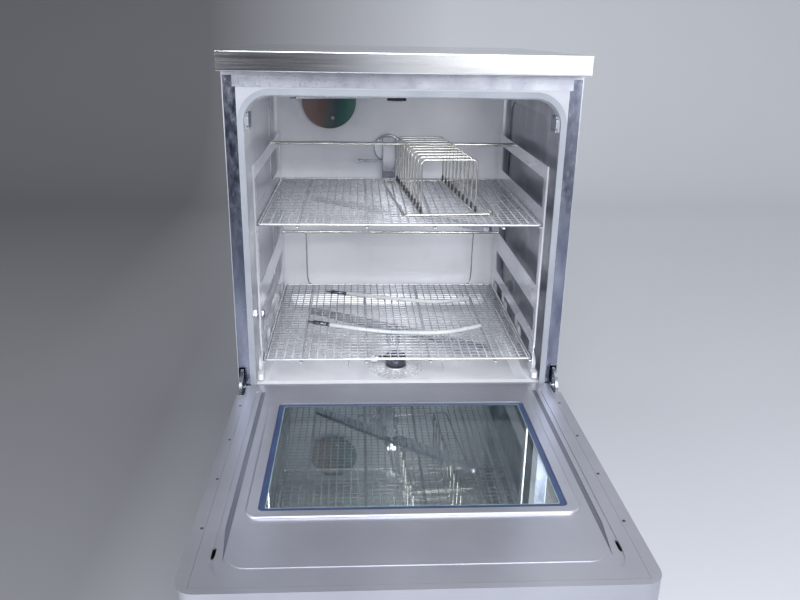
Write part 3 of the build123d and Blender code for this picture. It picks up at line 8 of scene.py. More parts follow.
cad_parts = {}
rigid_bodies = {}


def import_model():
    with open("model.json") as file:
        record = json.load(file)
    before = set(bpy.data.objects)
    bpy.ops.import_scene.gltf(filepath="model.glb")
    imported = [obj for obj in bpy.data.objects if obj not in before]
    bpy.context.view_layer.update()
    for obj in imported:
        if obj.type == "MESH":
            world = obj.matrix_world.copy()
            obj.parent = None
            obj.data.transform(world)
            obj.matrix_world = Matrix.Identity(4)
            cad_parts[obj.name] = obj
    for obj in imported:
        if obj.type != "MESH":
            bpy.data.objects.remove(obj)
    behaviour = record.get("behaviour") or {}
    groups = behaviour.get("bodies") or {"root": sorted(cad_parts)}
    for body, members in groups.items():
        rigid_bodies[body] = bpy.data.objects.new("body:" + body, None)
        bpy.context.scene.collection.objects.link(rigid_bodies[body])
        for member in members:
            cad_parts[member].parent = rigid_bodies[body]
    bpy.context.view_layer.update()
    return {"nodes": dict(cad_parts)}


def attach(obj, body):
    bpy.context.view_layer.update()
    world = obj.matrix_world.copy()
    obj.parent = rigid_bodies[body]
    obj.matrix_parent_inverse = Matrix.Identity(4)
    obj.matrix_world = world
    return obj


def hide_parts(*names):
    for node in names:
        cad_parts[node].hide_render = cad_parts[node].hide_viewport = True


for leftover in list(bpy.data.objects):
    bpy.data.objects.remove(leftover, do_unlink=True)
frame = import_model()
nodes = frame["nodes"]
mm = 0.001

# places in millimetres that several pieces share
upper_shelf_level, lower_shelf_level = 556, 295
filter_x, filter_y = 0, 133
rack_x, rack_y = 78.5, 266
ceiling_arm_y = 255


# camera, at the place and angle of the photograph
camera_place = (-0.07782, -1.29993, 0.88017)
camera_degrees = (19.33, 3.368, 1.024)
focal_pixels, picture_pixels, sensor_width = 762.3, 800, 36


def add_camera():
    pitch, yaw, roll = (math.radians(degrees) for degrees in camera_degrees)
    ahead = Vector((math.sin(yaw) * math.cos(pitch), math.cos(yaw) * math.cos(pitch), -math.sin(pitch)))
    right = Vector((math.cos(yaw), -math.sin(yaw), 0))
    up = right.cross(ahead)
    tilted_right = math.cos(roll) * right + math.sin(roll) * up
    tilted_up = math.cos(roll) * up - math.sin(roll) * right
    data = bpy.data.cameras.new("camera")
    data.sensor_width = sensor_width
    data.lens = sensor_width * focal_pixels / picture_pixels
    data.clip_start = 0.01
    camera = bpy.data.objects.new("camera", data)
    bpy.context.scene.collection.objects.link(camera)
    turn = Matrix((tilted_right, tilted_up, -ahead)).transposed().to_4x4()
    camera.matrix_world = Matrix.Translation(camera_place) @ turn
    bpy.context.scene.camera = camera


add_camera()


# cords: two loose hoses on the lower shelf, with their level in metres and their radius in millimetres
hose_level = 0.3008
hose_radius = 4.2


def hose_curve(name, plan_points):
    data = bpy.data.curves.new(name, "CURVE")
    data.dimensions = "3D"
    spline = data.splines.new("NURBS")
    spline.points.add(len(plan_points) - 1)
    for point, (x, y) in zip(spline.points, plan_points):
        point.co = (x * mm, y * mm, hose_level, 1)
    spline.order_u = 3
    spline.use_endpoint_u = True
    data.bevel_depth = hose_radius * mm
    data.bevel_resolution = 5
    data.resolution_u = 16
    data.use_fill_caps = True
    piece = bpy.data.objects.new(name, data)
    bpy.context.scene.collection.objects.link(piece)
    return piece


rear_points = ((-108, 397), (-58, 380), (-11, 364), (48, 345), (102, 337), (145, 343), (178, 360))
front_points = ((-140, 196), (-84, 172), (-21, 152), (44, 145), (102, 148), (147, 166), (180, 186))
rear_hose = hose_curve("rear_hose_tube", rear_points)
front_hose = hose_curve("front_hose_tube", front_points)


# materials
def colour(text):
    def linear(v):
        return v / 12.92 if v <= 0.04045 else ((v + 0.055) / 1.055) ** 2.4
    return tuple(linear(int(text[i:i + 2], 16) / 255) for i in (0, 2, 4)) + (1,)


def noise(tree, scale, detail=4.0):
    coords = tree.nodes.new("ShaderNodeTexCoord")
    mapping = tree.nodes.new("ShaderNodeMapping")
    mapping.inputs["Scale"].default_value = scale
    texture = tree.nodes.new("ShaderNodeTexNoise")
    texture.inputs["Scale"].default_value = 1.0
    texture.inputs["Detail"].default_value = detail
    texture.inputs["Roughness"].default_value = 0.55
    tree.links.new(coords.outputs["Object"], mapping.inputs["Vector"])
    tree.links.new(mapping.outputs["Vector"], texture.inputs["Vector"])
    return texture.outputs["Fac"]


def span(tree, value, low, high, start=0.3, stop=0.7):
    node = tree.nodes.new("ShaderNodeMapRange")
    node.inputs["From Min"].default_value = start
    node.inputs["From Max"].default_value = stop
    node.inputs["To Min"].default_value = low
    node.inputs["To Max"].default_value = high
    tree.links.new(value, node.inputs["Value"])
    return node.outputs["Result"]


def ramp(tree, value, stops):
    node = tree.nodes.new("ShaderNodeValToRGB")
    elements = node.color_ramp.elements
    while len(elements) < len(stops):
        elements.new(0.5)
    for element, (place, text) in zip(elements, stops):
        element.position = place
        element.color = colour(text)
    tree.links.new(value, node.inputs["Fac"])
    return node.outputs["Color"]


def combine(tree, operation, one, two):
    node = tree.nodes.new("ShaderNodeMath")
    node.operation = operation
    tree.links.new(one, node.inputs[0])
    tree.links.new(two, node.inputs[1])
    return node.outputs["Value"]


def drifting_colour(tree, tones, patch):
    """From the dark tone to the light one with a coarse noise."""
    dark, light = tones
    return ramp(tree, noise(tree, patch), ((0.3, dark), (0.7, light)))


def colour_across(tree, stops, start, stop):
    """Stops of colour that follow the place along X, broken up by a noise."""
    coords = tree.nodes.new("ShaderNodeTexCoord")
    split = tree.nodes.new("ShaderNodeSeparateXYZ")
    tree.links.new(coords.outputs["Object"], split.inputs["Vector"])
    place = span(tree, split.outputs["X"], 0.0, 1.0, start, stop)
    wander = span(tree, noise(tree, (14, 14, 14), 3.0), -0.08, 0.08)
    return ramp(tree, combine(tree, "ADD", place, wander), stops)


def material(name, tones, patch=(8, 8, 8), rough=(0.3, 0.4), fine=(60, 60, 60), bump=0.0, depth=0.0002,
             wave=0.0, across=None, **sockets):
    """Colour drifts with a coarse noise or runs across X, roughness and relief follow a fine noise."""
    made = bpy.data.materials.new(name)
    made.use_nodes = True
    tree = made.node_tree
    shader = tree.nodes["Principled BSDF"]
    base = colour_across(tree, tones, *across) if across else drifting_colour(tree, tones, patch)
    tree.links.new(base, shader.inputs["Base Color"])
    grain = noise(tree, fine, 6.0)
    tree.links.new(span(tree, grain, rough[0], rough[1]), shader.inputs["Roughness"])
    normal = None
    if wave:
        slow = tree.nodes.new("ShaderNodeBump")
        slow.inputs["Strength"].default_value = wave
        slow.inputs["Distance"].default_value = 0.01
        tree.links.new(noise(tree, (5, 5, 5), 1.5), slow.inputs["Height"])
        normal = slow.outputs["Normal"]
    if bump:
        relief = tree.nodes.new("ShaderNodeBump")
        relief.inputs["Strength"].default_value = bump
        relief.inputs["Distance"].default_value = depth
        tree.links.new(grain, relief.inputs["Height"])
        if normal:
            tree.links.new(normal, relief.inputs["Normal"])
        normal = relief.outputs["Normal"]
    if normal:
        tree.links.new(normal, shader.inputs["Normal"])
    for socket, value in sockets.items():
        shader.inputs[socket.replace("_", " ")].default_value = value
    return made


lid_steel = material("lid_steel_brushed", ("d6d8dd", "eceef1"), (1.5, 30, 30), rough=(0.12, 0.2),
                     fine=(6, 700, 700), bump=0.1, wave=0.04, Metallic=1.0)
strip_steel = material("strip_steel", ("8f929f", "b0b3be"), (22, 22, 22), rough=(0.26, 0.4),
                       fine=(260, 700, 260), bump=0.25, Metallic=0.85)
flange_steel = material("flange_steel", ("9a9da7", "aaadb6"), (6, 6, 6), rough=(0.3, 0.4),
                        fine=(300, 300, 300), bump=0.05, Metallic=0.5)
post_steel = material("post_steel_mottled", ("5c6276", "9297a7"), (30, 30, 9), rough=(0.14, 0.3),
                      fine=(120, 120, 60), bump=0.12, wave=0.05, Metallic=1.0)
panel_steel = material("panel_steel_brushed", ("a9adb6", "c2c5cc"), (10, 10, 2), rough=(0.26, 0.38),
                       fine=(600, 600, 6), bump=0.3, Metallic=1.0)
# painted shade: the chamber steel runs from light to dark across x 0.262 to 0.281 m, so the right wall is
# painted darker
chamber_steel_right_painted_shade = material("chamber_steel_polished", ((0.0, "e6e8ee"), (1.0, "747884")), across=(0.262, 0.281),
                         rough=(0.2, 0.26), fine=(9, 9, 9), Metallic=0.22)
door_steel = material("door_steel_satin", ("a2a4ae", "b6b8c1"), (4, 4, 4), rough=(0.3, 0.38),
                      fine=(8, 400, 400), bump=0.06, wave=0.03, Metallic=0.8)
# painted shade: darker steel for the strips laid on the floors of the door's wide grooves
groove_painted_shade = material("groove_steel_painted_shade", ("62646f", "747682"), (6, 6, 6), rough=(0.3, 0.42),
                        fine=(300, 20, 300), bump=0.08, Metallic=0.6)
lock_steel = material("lock_steel_dull", ("7b7f8a", "9296a1"), (20, 20, 20), rough=(0.4, 0.5),
                      fine=(300, 300, 300), bump=0.1, Metallic=0.8)
screw_steel = material("screw_steel_dark", ("4c4e57", "666872"), (60, 60, 60), rough=(0.3, 0.45),
                       fine=(500, 500, 500), bump=0.1, Metallic=0.9)
zinc_steel = material("zinc_steel_plated", ("8d9196", "b1b5ba"), (40, 40, 40), rough=(0.4, 0.55),
                      fine=(120, 120, 120), bump=0.2, Metallic=0.9)
rack_steel = material("rack_wire_warm", ("b4b4b0", "d2d1cb"), (30, 30, 30), rough=(0.12, 0.22),
                      fine=(300, 300, 300), Metallic=0.9)
wire_steel = material("wire_steel_bright", ("b4b7be", "cdcfd5"), (30, 30, 30), rough=(0.2, 0.3),
                      fine=(300, 300, 300), Metallic=0.5)
sheet_steel = material("sheet_steel_satin", ("c2c5cf", "d8dae1"), (6, 6, 6), rough=(0.16, 0.24),
                       fine=(8, 8, 60), wave=0.03, Metallic=0.6)
arm_steel = material("arm_steel_satin", ("8e929c", "b5b8c1"), (12, 12, 12), rough=(0.22, 0.34),
                     fine=(300, 20, 300), bump=0.2, Metallic=1.0)
port_steel = material("port_steel_bright", ("b9bcc4", "dcdee4"), (20, 20, 20), rough=(0.1, 0.2),
                      fine=(200, 200, 200), bump=0.1, Metallic=1.0)
filter_steel = material("filter_steel_dark", ("5b5e68", "868a94"), (20, 20, 20), rough=(0.2, 0.34),
                        fine=(200, 200, 200), bump=0.15, Metallic=1.0)
baffle_tints = ((0.0, "a08b88"), (0.3, "8d7471"), (0.42, "6f7070"), (0.62, "4c5f66"), (0.78, "3f6f66"),
                (1.0, "5a8078"))
baffle_steel = material("baffle_steel_tinted", baffle_tints, across=(-0.205, -0.081), rough=(0.12, 0.2),
                        fine=(90, 90, 90), Metallic=0.45)
seal_rubber = material("seal_rubber_pale", ("777c86", "868b95"), (10, 10, 10), rough=(0.38, 0.5),
                       fine=(400, 400, 400), bump=0.15)
white_plastic = material("roller_plastic_white", ("b9bcc4", "cdd0d7"), (20, 20, 20), rough=(0.3, 0.42),
                         fine=(500, 500, 500), bump=0.15)
dark_plastic = material("fascia_plastic_dark", ("181b20", "24282f"), (20, 20, 20), rough=(0.35, 0.5),
                        fine=(900, 900, 900), bump=0.25)
grey_plastic = material("key_plastic_grey", ("5d6167", "777b82"), (30, 30, 30), rough=(0.35, 0.5),
                        fine=(900, 900, 900), bump=0.2)
display_gloss = material("display_gloss", ("0c1016", "151b24"), (20, 20, 20), rough=(0.08, 0.16),
                         fine=(300, 300, 300), bump=0.05, Coat_Weight=0.6)
pump_metal = material("pump_cast_alloy", ("8b8e92", "a9acb0"), (40, 40, 40), rough=(0.45, 0.62),
                      fine=(260, 260, 260), bump=0.5, depth=0.0005, Metallic=0.85)
jacket_felt = material("jacket_felt", ("3a3a3d", "565659"), (90, 90, 90), rough=(0.85, 0.98),
                       fine=(420, 420, 420), bump=0.9, depth=0.001)
brass = material("inlet_brass", ("b39a58", "cdb674"), (40, 40, 40), rough=(0.25, 0.38),
                 fine=(300, 300, 300), bump=0.15, Metallic=1.0)
silicone = material("hose_silicone_milky", ("cfd4d8", "e2e6e9"), (30, 30, 30), rough=(0.25, 0.38),
                    fine=(300, 300, 300), bump=0.1, Transmission_Weight=0.35, Subsurface_Weight=0.3,
                    Subsurface_Scale=0.004)
glass = material("window_glass", ("e9f1ef", "f4f9f7"), (6, 6, 6), rough=(0.0, 0.01),
                 fine=(30, 30, 30), Transmission_Weight=1.0, IOR=1.52, Metallic=0.3)
border_blue = material("window_border_blue", ("22304f", "2e3e63"), (20, 20, 20), rough=(0.3, 0.45),
                       fine=(200, 200, 200), bump=0.1)
edge_teal = material("window_edge_teal", ("7c9599", "9db3b5"), (20, 20, 20), rough=(0.1, 0.2),
                     fine=(200, 200, 200), Transmission_Weight=0.4)
spacer_dark = material("window_spacer_dark", ("4b5a6c", "66788a"), (20, 20, 20), rough=(0.3, 0.5),
                       fine=(300, 300, 300), bump=0.15)

finishes = {
    lid_steel: ["lid"],
    strip_steel: ["top_rail"],
    flange_steel: ["opening_flange"],
    post_steel: ["front_posts"],
    panel_steel: ["side_panels", "service_panel", "plinth_panel"],
    chamber_steel_right_painted_shade: ["wash_chamber", "sump", "fine_filter"],
    door_steel: ["door_inner_panel", "door_outer_panel"],
    zinc_steel: ["base_tray", "rear_panel"],
    wire_steel: ["cabinet_screws", "heating_element"],
    rack_steel: ["plate_rack", "trolley_cross_rods"],
    screw_steel: ["door_screws"],
    lock_steel: ["door_lock", "lock_bolts"],
    sheet_steel: ["trolley_sides"],
    arm_steel: ["lower_spray_arm", "ceiling_spray_arm", "middle_spray_arm", "supply_pipes"],
    port_steel: ["docking_port", "feed_duct", "temperature_probe", "door_handle"],
    filter_steel: ["hose_connectors", "hinge_arms", "hinge_brackets"],
    baffle_steel: ["baffle_disc"],
    seal_rubber: ["door_seal"],
    white_plastic: ["trolley_bumpers", "roller_pair_1", "roller_pair_2", "roller_pair_3", "roller_pair_4"],
    dark_plastic: ["control_fascia"],
    grey_plastic: ["start_key", "stop_key", "program_key", "drain_pump", "dosing_pumps", "control_box",
                   "drying_blower", "levelling_feet"],
    display_gloss: ["display_module"],
    pump_metal: ["circulation_pump"],
    jacket_felt: ["thermal_jacket"],
    brass: ["rear_connections"],
    silicone: ["hose_rear", "hose_front"],
    glass: ["inner_window", "outer_window"],
    spacer_dark: ["window_spacer"],
}
for finish, names in finishes.items():
    for name in names:
        target = nodes[name]
        for place in target.material_slots:
            place.material = finish


# mesh helpers
def add_mesh(name, build, finish, body, replaced=(), smooth=True):
    data = bpy.data.meshes.new(name)
    mesh = bmesh.new()
    build(mesh)
    bmesh.ops.recalc_face_normals(mesh, faces=mesh.faces)
    mesh.to_mesh(data)
    mesh.free()
    if smooth:
        data.shade_smooth()
    data.materials.append(finish)
    piece = bpy.data.objects.new(name, data)
    bpy.context.scene.collection.objects.link(piece)
    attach(piece, body)
    if replaced:
        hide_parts(*replaced)
    return piece


def tube(mesh, path, radius, sides=8, closed=False):
    """A round tube along a path in millimetres, with flat ends unless it is closed."""
    points = [Vector(p) * mm for p in path]
    count = len(points)
    rings = []
    across = None
    for i, point in enumerate(points):
        before = points[i - 1] if i or closed else points[0]
        after = points[(i + 1) % count] if i < count - 1 or closed else points[-1]
        along = (after - before).normalized()
        if across is None:
            across = along.orthogonal().normalized()
        across = (across - along * across.dot(along)).normalized()
        side = along.cross(across)
        ring = []
        for k in range(sides):
            angle = 2 * math.pi * k / sides
            out = across * math.cos(angle) + side * math.sin(angle)
            ring.append(mesh.verts.new(point + out * radius * mm))
        rings.append(ring)
    pairs = list(zip(rings, rings[1:])) + ([(rings[-1], rings[0])] if closed else [])
    for one, two in pairs:
        for k in range(sides):
            mesh.faces.new((one[k], one[(k + 1) % sides], two[(k + 1) % sides], two[k]))
    if not closed:
        mesh.faces.new(rings[0])
        mesh.faces.new(rings[-1])


def rounded_rectangle(x_low, x_high, y_low, y_high, radius, steps=6):
    corners = ((x_high - radius, y_high - radius, 0), (x_low + radius, y_high - radius, 90),
               (x_low + radius, y_low + radius, 180), (x_high - radius, y_low + radius, 270))
    points = []
    for cx, cy, start in corners:
        for k in range(steps + 1):
            angle = math.radians(start + 90 * k / steps)
            points.append((cx + radius * math.cos(angle), cy + radius * math.sin(angle)))
    return points


# shelves of welded wire
def wire_shelf(name, level, node):
    half, front, rear, corner_radius = 253.3, 27.2, 479.8, 5
    rim_radius, long_radius, cross_radius, rib_radius = 2.1, 1.25, 1.0, 1.6
    long_count, long_inset, long_lift = 33, 5.3, 0.9
    cross_count, cross_drop = 32, 1.3
    rib_places, rib_half_gap, rib_drop = (-185, -61, 61, 185), 1.9, 5.1

    def build(mesh):
        rim = [(x, y, level) for x, y in rounded_rectangle(-half, half, front, rear, corner_radius)]
        tube(mesh, rim, rim_radius, 10, closed=True)
        for i in range(long_count):
            x = -half + long_inset + 2 * (half - long_inset) * i / (long_count - 1)
            tube(mesh, [(x, front, level + long_lift), (x, rear, level + long_lift)], long_radius)
        for i in range(cross_count):
            y = front + 9 + (rear - front - 16) * i / (cross_count - 1)
            tube(mesh, [(-half, y, level - cross_drop), (half, y, level - cross_drop)], cross_radius)
        for x in rib_places:
            for shift in (-rib_half_gap, rib_half_gap):
                low = level - rib_drop
                path = [(x + shift, rear + 0.5, level - 4.4), (x + shift, rear - 9, low),
                        (x + shift, front + 9, low),
                        (x + shift * 0.7, front + 3, low - 0.7), (x + shift * 0.5, front - 1, low - 1.6),
                        (x + shift * 0.5, front - 3.4, low - 0.6), (x + shift * 0.5, front - 4, low + 1.6)]
                tube(mesh, path, rib_radius)
    add_mesh(name, build, wire_steel, "trolley", [node])


wire_shelf("upper_wire_shelf", upper_shelf_level, "upper_shelf")
wire_shelf("lower_wire_shelf", lower_shelf_level, "lower_shelf")


def slab(mesh, low, high, outer, inner=()):
    """A flat plate between two heights, with the inner outline as its hole where one is given."""
    loops = []
    for points in (outer, inner):
        for z in (low, high):
            if points:
                loops.append([mesh.verts.new((x * mm, y * mm, z * mm)) for x, y in points])
    count = len(outer)
    if inner:
        pairs = ((0, 1), (1, 3), (3, 2), (2, 0))
    else:
        pairs = ((0, 1),)
        mesh.faces.new(loops[0])
        mesh.faces.new(loops[1])
    for one, two in pairs:
        for k in range(count):
            after = (k + 1) % count
            mesh.faces.new((loops[one][k], loops[one][after], loops[two][after], loops[two][k]))


# printed border of the inner pane, and the edge of the pane within it
pane_top = 260.02
border_outline = rounded_rectangle(-215.2, 215.2, -407.2, -87.8, 8)
clear_outline = rounded_rectangle(-206, 206, -399, -96, 3)
edge_outline = rounded_rectangle(-204.6, 204.6, -397.6, -97.4, 3)


def glass_border(mesh):
    slab(mesh, pane_top, 260.12, border_outline, clear_outline)


def glass_edge(mesh):
    slab(mesh, pane_top, 260.08, clear_outline, edge_outline)


add_mesh("window_border", glass_border, border_blue, "door", smooth=False)
add_mesh("window_edge", glass_edge, edge_teal, "door", smooth=False)


# dark strips on the floors of the door's two wide grooves, tapering to a point: painted shade
def groove_floors(mesh):
    low, high = 255.85, 256.05
    outline = ((245.95, -30.2), (253.05, -30.2), (253.05, -438), (246.1, -506))
    for side in (-1, 1):
        slab(mesh, low, high, [(side * x, y) for x, y in outline])


add_mesh("door_groove_painted_shade_strips", groove_floors, groove_painted_shade, "door", smooth=False)


def lathe(mesh, start, along, profile, sides=20):
    """A turned solid: profile is (distance along, radius) in millimetres, from start in millimetres."""
    along = Vector(along).normalized()
    across = along.orthogonal().normalized()
    side = along.cross(across)
    rings = []
    for reach, radius in profile:
        centre = Vector(start) + along * reach
        ring = []
        for k in range(sides):
            angle = 2 * math.pi * k / sides
            out = across * math.cos(angle) + side * math.sin(angle)
            ring.append(mesh.verts.new((centre + out * radius) * mm))
        rings.append(ring)
    for one, two in zip(rings, rings[1:]):
        for k in range(sides):
            mesh.faces.new((one[k], one[(k + 1) % sides], two[(k + 1) % sides], two[k]))
    mesh.faces.new(rings[0])
    mesh.faces.new(rings[-1])


def add_turned(name, parts, finish, body):
    """One piece of several turned solids, each (start, direction, profile, sides)."""
    def build(mesh):
        for part in parts:
            lathe(mesh, *part)
    piece = add_mesh(name, build, finish, body)
    for polygon in piece.data.polygons:
        polygon.use_smooth = len(polygon.vertices) == 4
    return piece


# grip of the filter, with a ribbed neck and a bright end on its lever
up = (0, 0, 1)
left = (-1, 0, 0)
grip_foot, lever_level = 236, 252
neck_profile = ((0, 5.5), (3, 5.5), (3.5, 4.5), (5, 4.5), (5.5, 5.5), (8, 5.5), (8.5, 4.5), (10, 4.5),
                (10.5, 5.5), (15, 5.5))
lever_profile = ((0, 4.5), (1, 6), (8, 6.2), (12, 5.2), (14.5, 2.5), (15, 1))
grip = [((filter_x, filter_y, grip_foot), up, ((0, 21), (20, 20.5), (24, 19), (25.5, 16), (26, 4)), 48)]
neck = [((filter_x - 18, filter_y, lever_level), left, neck_profile, 20)]
lever_end = [((filter_x - 33, filter_y, lever_level), left, lever_profile, 20)]
add_turned("filter_grip", grip, filter_steel, "filter")
add_turned("filter_lever_neck", neck, dark_plastic, "filter")
add_turned("filter_lever_end", lever_end, port_steel, "filter")

# dark cap under the hub of the ceiling arm, with ribs round it
down = (0, 0, -1)
rib_count, rib_circle, rib_level, cap_level = 12, 17.4, 759, 759.2
cap = [((0, ceiling_arm_y, cap_level), down, ((0, 17.5), (4, 18), (6, 17), (7, 9)), 32)]
for k in range(rib_count):
    angle = math.radians(360 * k / rib_count)
    rib_root = (rib_circle * math.cos(angle), ceiling_arm_y + rib_circle * math.sin(angle), rib_level)
    cap.append((rib_root, down, ((0, 2.2), (6, 2), (6.6, 1.2)), 8))
add_turned("ceiling_hub_cap", cap, dark_plastic, "ceiling_arm")

# screw in the baffle disc, and rings on the wall probe
forward = (0, -1, 0)
screw_x, screw_z = -135, 691
screw = [((screw_x, 517, screw_z), forward, ((0, 4.6), (2.4, 4.4), (3, 3.6)), 24),
         ((screw_x, 514.4, screw_z), forward, ((0, 2.2), (0.9, 1.8)), 6)]
add_turned("baffle_screw", screw, port_steel, "cabinet")
ring_start, ring_pitch = -276, 3.4
ring_profile = ((0, 8.2), (0.4, 9.6), (1.8, 9.6), (2.2, 8.2))
rings = [((ring_start + ring_pitch * k, 172, 333), (1, 0, 0), ring_profile, 24) for k in range(3)]
add_turned("probe_rings", rings, port_steel, "cabinet")

# dark sleeves on the feet of the rack's hoops
turn = math.radians(5)
hoop_count, hoop_span, hoop_half, sleeve_foot = 10, 323, 52.5, 562
sleeves = []
for k in range(hoop_count):
    along = hoop_span * (k / (hoop_count - 1) - 0.5)
    for across in (-hoop_half, hoop_half):
        foot = (rack_x + across * math.cos(turn) - along * math.sin(turn),
                rack_y + across * math.sin(turn) + along * math.cos(turn), sleeve_foot)
        sleeves.append((foot, up, ((0, 2.3), (1, 2.6), (11, 2.5), (12, 1.8)), 10))
add_turned("rack_sleeves", sleeves, dark_plastic, "rack")


# wires that hang from the lower cross rod to the back of the lower shelf
def stay_wires(mesh):
    for side in (-1, 1):
        x = 200 * side
        tube(mesh, [(x, 466, 431), (x, 470, 424), (x, 475, 412), (x, 477.5, 380), (x, 478.5, 330),
                    (x - side, 479, 312), (x - 4 * side, 479.5, 300), (x - 9 * side, 479.8, 296.5)], 1.7, 10)


stays = add_mesh("trolley_stay_wires", stay_wires, rack_steel, "trolley")


# rolled lip inside the top of the opening, and rounded corners at the back of the chamber
def arch_points(half, top, radius, foot):
    points = [(-half, foot)]
    for start, x in ((180, radius - half), (90, half - radius)):
        for k in range(9):
            angle = math.radians(start - 90 * k / 8)
            points.append((x + radius * math.cos(angle), top - radius + radius * math.sin(angle)))
    points.append((half, foot))
    return points


lip_half, lip_top, lip_radius, lip_foot = 265.9, 779.9, 45, 728.5
lip_thickness, lip_front, lip_back = 1.4, 1.4, 12


def lip_points(inset):
    return arch_points(lip_half - inset, lip_top - inset, lip_radius - inset, lip_foot)


def opening_lip(mesh):
    outer, inner = lip_points(0), lip_points(lip_thickness)
    rows = []
    for points, y in ((outer, lip_front), (outer, lip_back), (inner, lip_back), (inner, lip_front)):
        rows.append([mesh.verts.new((x * mm, y * mm, z * mm)) for x, z in points])
    for one, two in zip(rows, rows[1:] + rows[:1]):
        for k in range(len(one) - 1):
            mesh.faces.new((one[k], one[k + 1], two[k + 1], two[k]))
    for end in (0, -1):
        mesh.faces.new([row[end] for row in rows])
    tube(mesh, [(x, lip_back + 0.4, z) for x, z in lip_points(1.7)], 1.5, 10)


def back_corners(mesh):
    wall_x, wall_y, radius = 279.2, 530.2, 15
    centre_x, centre_y, low, high = 264, 515, 257.2, 806
    for side in (-1, 1):
        section = [(wall_x, wall_y), (centre_x, wall_y)]
        for k in range(9):
            angle = math.radians(90 * k / 8)
            section.append((centre_x + radius * math.sin(angle), centre_y + radius * math.cos(angle)))
        section.append((wall_x, centre_y))
        slab(mesh, low, high, [(side * x, y) for x, y in section])


lip = add_mesh("opening_lip", opening_lip, flange_steel, "cabinet")
corners = add_mesh("chamber_back_corners", back_corners, chamber_steel_right_painted_shade, "cabinet", smooth=False)


def connector(name, plan_points):
    level = hose_level / mm
    first = Vector((*plan_points[0], level))
    out = (first - Vector((*plan_points[1], level))).normalized()
    side = out.cross(Vector((0, 0, 1)))

    def build(mesh):
        lathe(mesh, first - out * 5, out,
              ((0, 4.3), (1, 4.5), (7, 4.5), (7.6, 3.4), (9, 3.4), (10, 4.4), (12, 3.4), (13, 4.4), (15, 3.4),
               (16, 4.4), (24, 4.5), (25, 4.2), (26, 4.5), (37, 4.5), (38.2, 3.9), (39, 3.9)))
        for shift in (-2.3, 2.3):
            root = first + out * 33 + side * shift
            lathe(mesh, root, out, ((0, 1.2), (4, 1.4), (12, 1.3), (14, 0.8)), 10)
    piece = add_mesh(name, build, filter_steel, "trolley", ["hose_connectors"])
    for polygon in piece.data.polygons:
        polygon.use_smooth = len(polygon.vertices) == 4
    return piece


for hose, node, points, length in ((rear_hose, "hose_rear", rear_points, 0.299),
                                   (front_hose, "hose_front", front_points, 0.337)):
    hose.data.materials.append(silicone)
    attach(hose, "trolley")
    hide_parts(node)
    plug = connector(hose.name.replace("tube", "connector"), points)


# stage: one curved sheet of floor and backdrop with painted light and shade on it, and soft lamps
def stage_paper():
    """Painted light and shade on the paper: the floor darker on the left and towards the front, a painted
    pale strip of floor near the object, and its own pair of tones on the backdrop, darker on the left.
    """
    made = bpy.data.materials.new("stage_paper")
    made.use_nodes = True
    tree = made.node_tree
    shader = tree.nodes["Principled BSDF"]
    coords = tree.nodes.new("ShaderNodeTexCoord")
    split = tree.nodes.new("ShaderNodeSeparateXYZ")
    tree.links.new(coords.outputs["Object"], split.inputs["Vector"])
    x, y = split.outputs["X"], split.outputs["Y"]
    # painted shade: the floor darker to the left and towards the front
    rightward = span(tree, x, 0.0, 1.0, -0.55, 0.15)
    lit = span(tree, y, 0.25, 1.0, -2.9, -1.6)
    painted_side_shade = combine(tree, "MULTIPLY", rightward, lit)
    # painted light: a pale strip of floor from y -1.5 to -0.45 m, near the object
    nearer = span(tree, y, 0.0, 1.0, -1.5, -1.0)
    farther = span(tree, y, 1.0, 0.0, -0.75, -0.45)
    painted_pale_strip = combine(tree, "MULTIPLY", nearer, farther)
    tone = combine(tree, "MAXIMUM", painted_side_shade, painted_pale_strip)
    # painted shade on the backdrop: darker to the left
    painted_wall_shade = span(tree, x, 0.0, 1.0, -1.0, 0.5)
    mix = tree.nodes.new("ShaderNodeMixRGB")
    tree.links.new(span(tree, y, 0.0, 1.0, 0.4, 2.4), mix.inputs["Fac"])
    tree.links.new(ramp(tree, tone, ((0.0, "6a6c71"), (1.0, "b2b5bd"))), mix.inputs["Color1"])
    tree.links.new(ramp(tree, painted_wall_shade, ((0.0, "65676c"), (1.0, "c6c9d0"))), mix.inputs["Color2"])
    tree.links.new(mix.outputs["Color"], shader.inputs["Base Color"])
    shader.inputs["Roughness"].default_value = 0.8
    return made


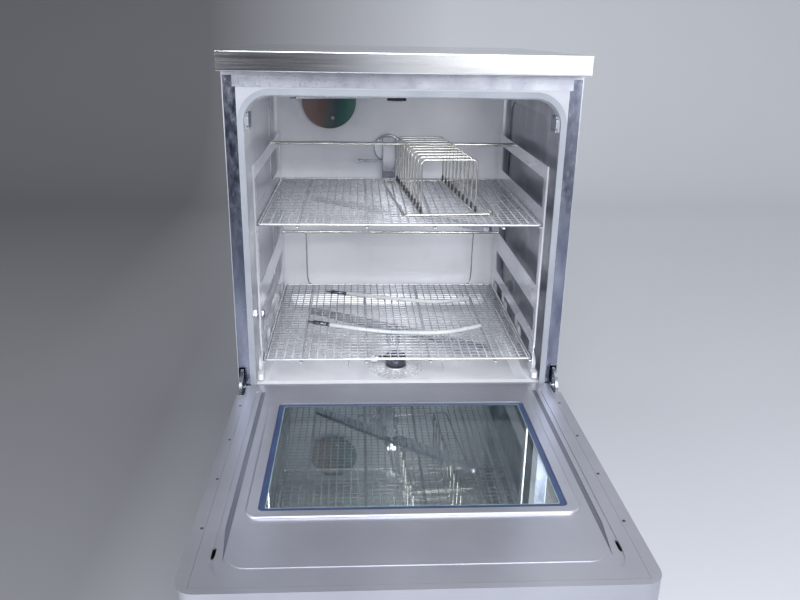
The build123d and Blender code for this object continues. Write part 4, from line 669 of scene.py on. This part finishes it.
def add_stage():
    data = bpy.data.meshes.new("stage")
    mesh = bmesh.new()
    front, foot, curve, top, half_width = -4.0, 2.7, 1.1, 4.5, 6
    profile = [(front, 0.0), (foot, 0.0)]
    for k in range(1, 13):
        angle = math.radians(90 * k / 12)
        profile.append((foot + curve * math.sin(angle), curve - curve * math.cos(angle)))
    profile.append((foot + curve, top))
    rows = [[mesh.verts.new((x, y, z)) for y, z in profile] for x in (-half_width, half_width)]
    for k in range(len(profile) - 1):
        mesh.faces.new((rows[0][k], rows[1][k], rows[1][k + 1], rows[0][k + 1]))
    mesh.to_mesh(data)
    mesh.free()
    data.shade_smooth()
    data.materials.append(stage_paper())
    sheet = bpy.data.objects.new("stage", data)
    bpy.context.scene.collection.objects.link(sheet)


def add_lamp(name, place, aim, size, power):
    data = bpy.data.lights.new(name, "AREA")
    data.shape = "RECTANGLE"
    data.size, data.size_y = size
    data.energy = power
    lamp = bpy.data.objects.new(name, data)
    lamp.location = place
    lamp.rotation_euler = (Vector(aim) - Vector(place)).to_track_quat("-Z", "Y").to_euler()
    bpy.context.scene.collection.objects.link(lamp)


add_stage()
add_lamp("key_lamp", (0.95, -2.4, 1.45), (0.0, 0.3, 0.5), (1.2, 1.1), 34)
add_lamp("side_lamp", (-1.5, -2.1, 0.95), (0.3, 0.4, 0.5), (0.9, 1.0), 32)
add_lamp("fill_lamp", (0.0, -2.1, 2.0), (0, 0.5, 0.45), (1.3, 0.9), 54)
add_lamp("top_lamp", (0.3, -0.4, 2.9), (0, -0.1, 0.3), (2.0, 1.4), 14)


# pale and dark bands round the object, which the polished sheets mirror
def add_world():
    world = bpy.data.worlds.new("world")
    bpy.context.scene.world = world
    world.use_nodes = True
    sky = world.node_tree
    background = sky.nodes["Background"]
    background.inputs["Strength"].default_value = 0.9
    coords = sky.nodes.new("ShaderNodeTexCoord")
    split = sky.nodes.new("ShaderNodeSeparateXYZ")
    sky.links.new(coords.outputs["Generated"], split.inputs["Vector"])
    side = span(sky, split.outputs["X"], 0.0, 1.0, -0.8, 0.8)
    tones = ((0.0, "f0f2f5"), (0.3, "d3d6dd"), (0.37, "1c1f28"), (0.48, "30343f"), (0.52, "d8dbe2"),
             (0.6, "ffffff"))
    sky.links.new(ramp(sky, side, tones), background.inputs["Color"])


add_world()
bpy.context.scene.view_settings.view_transform = "Standard"
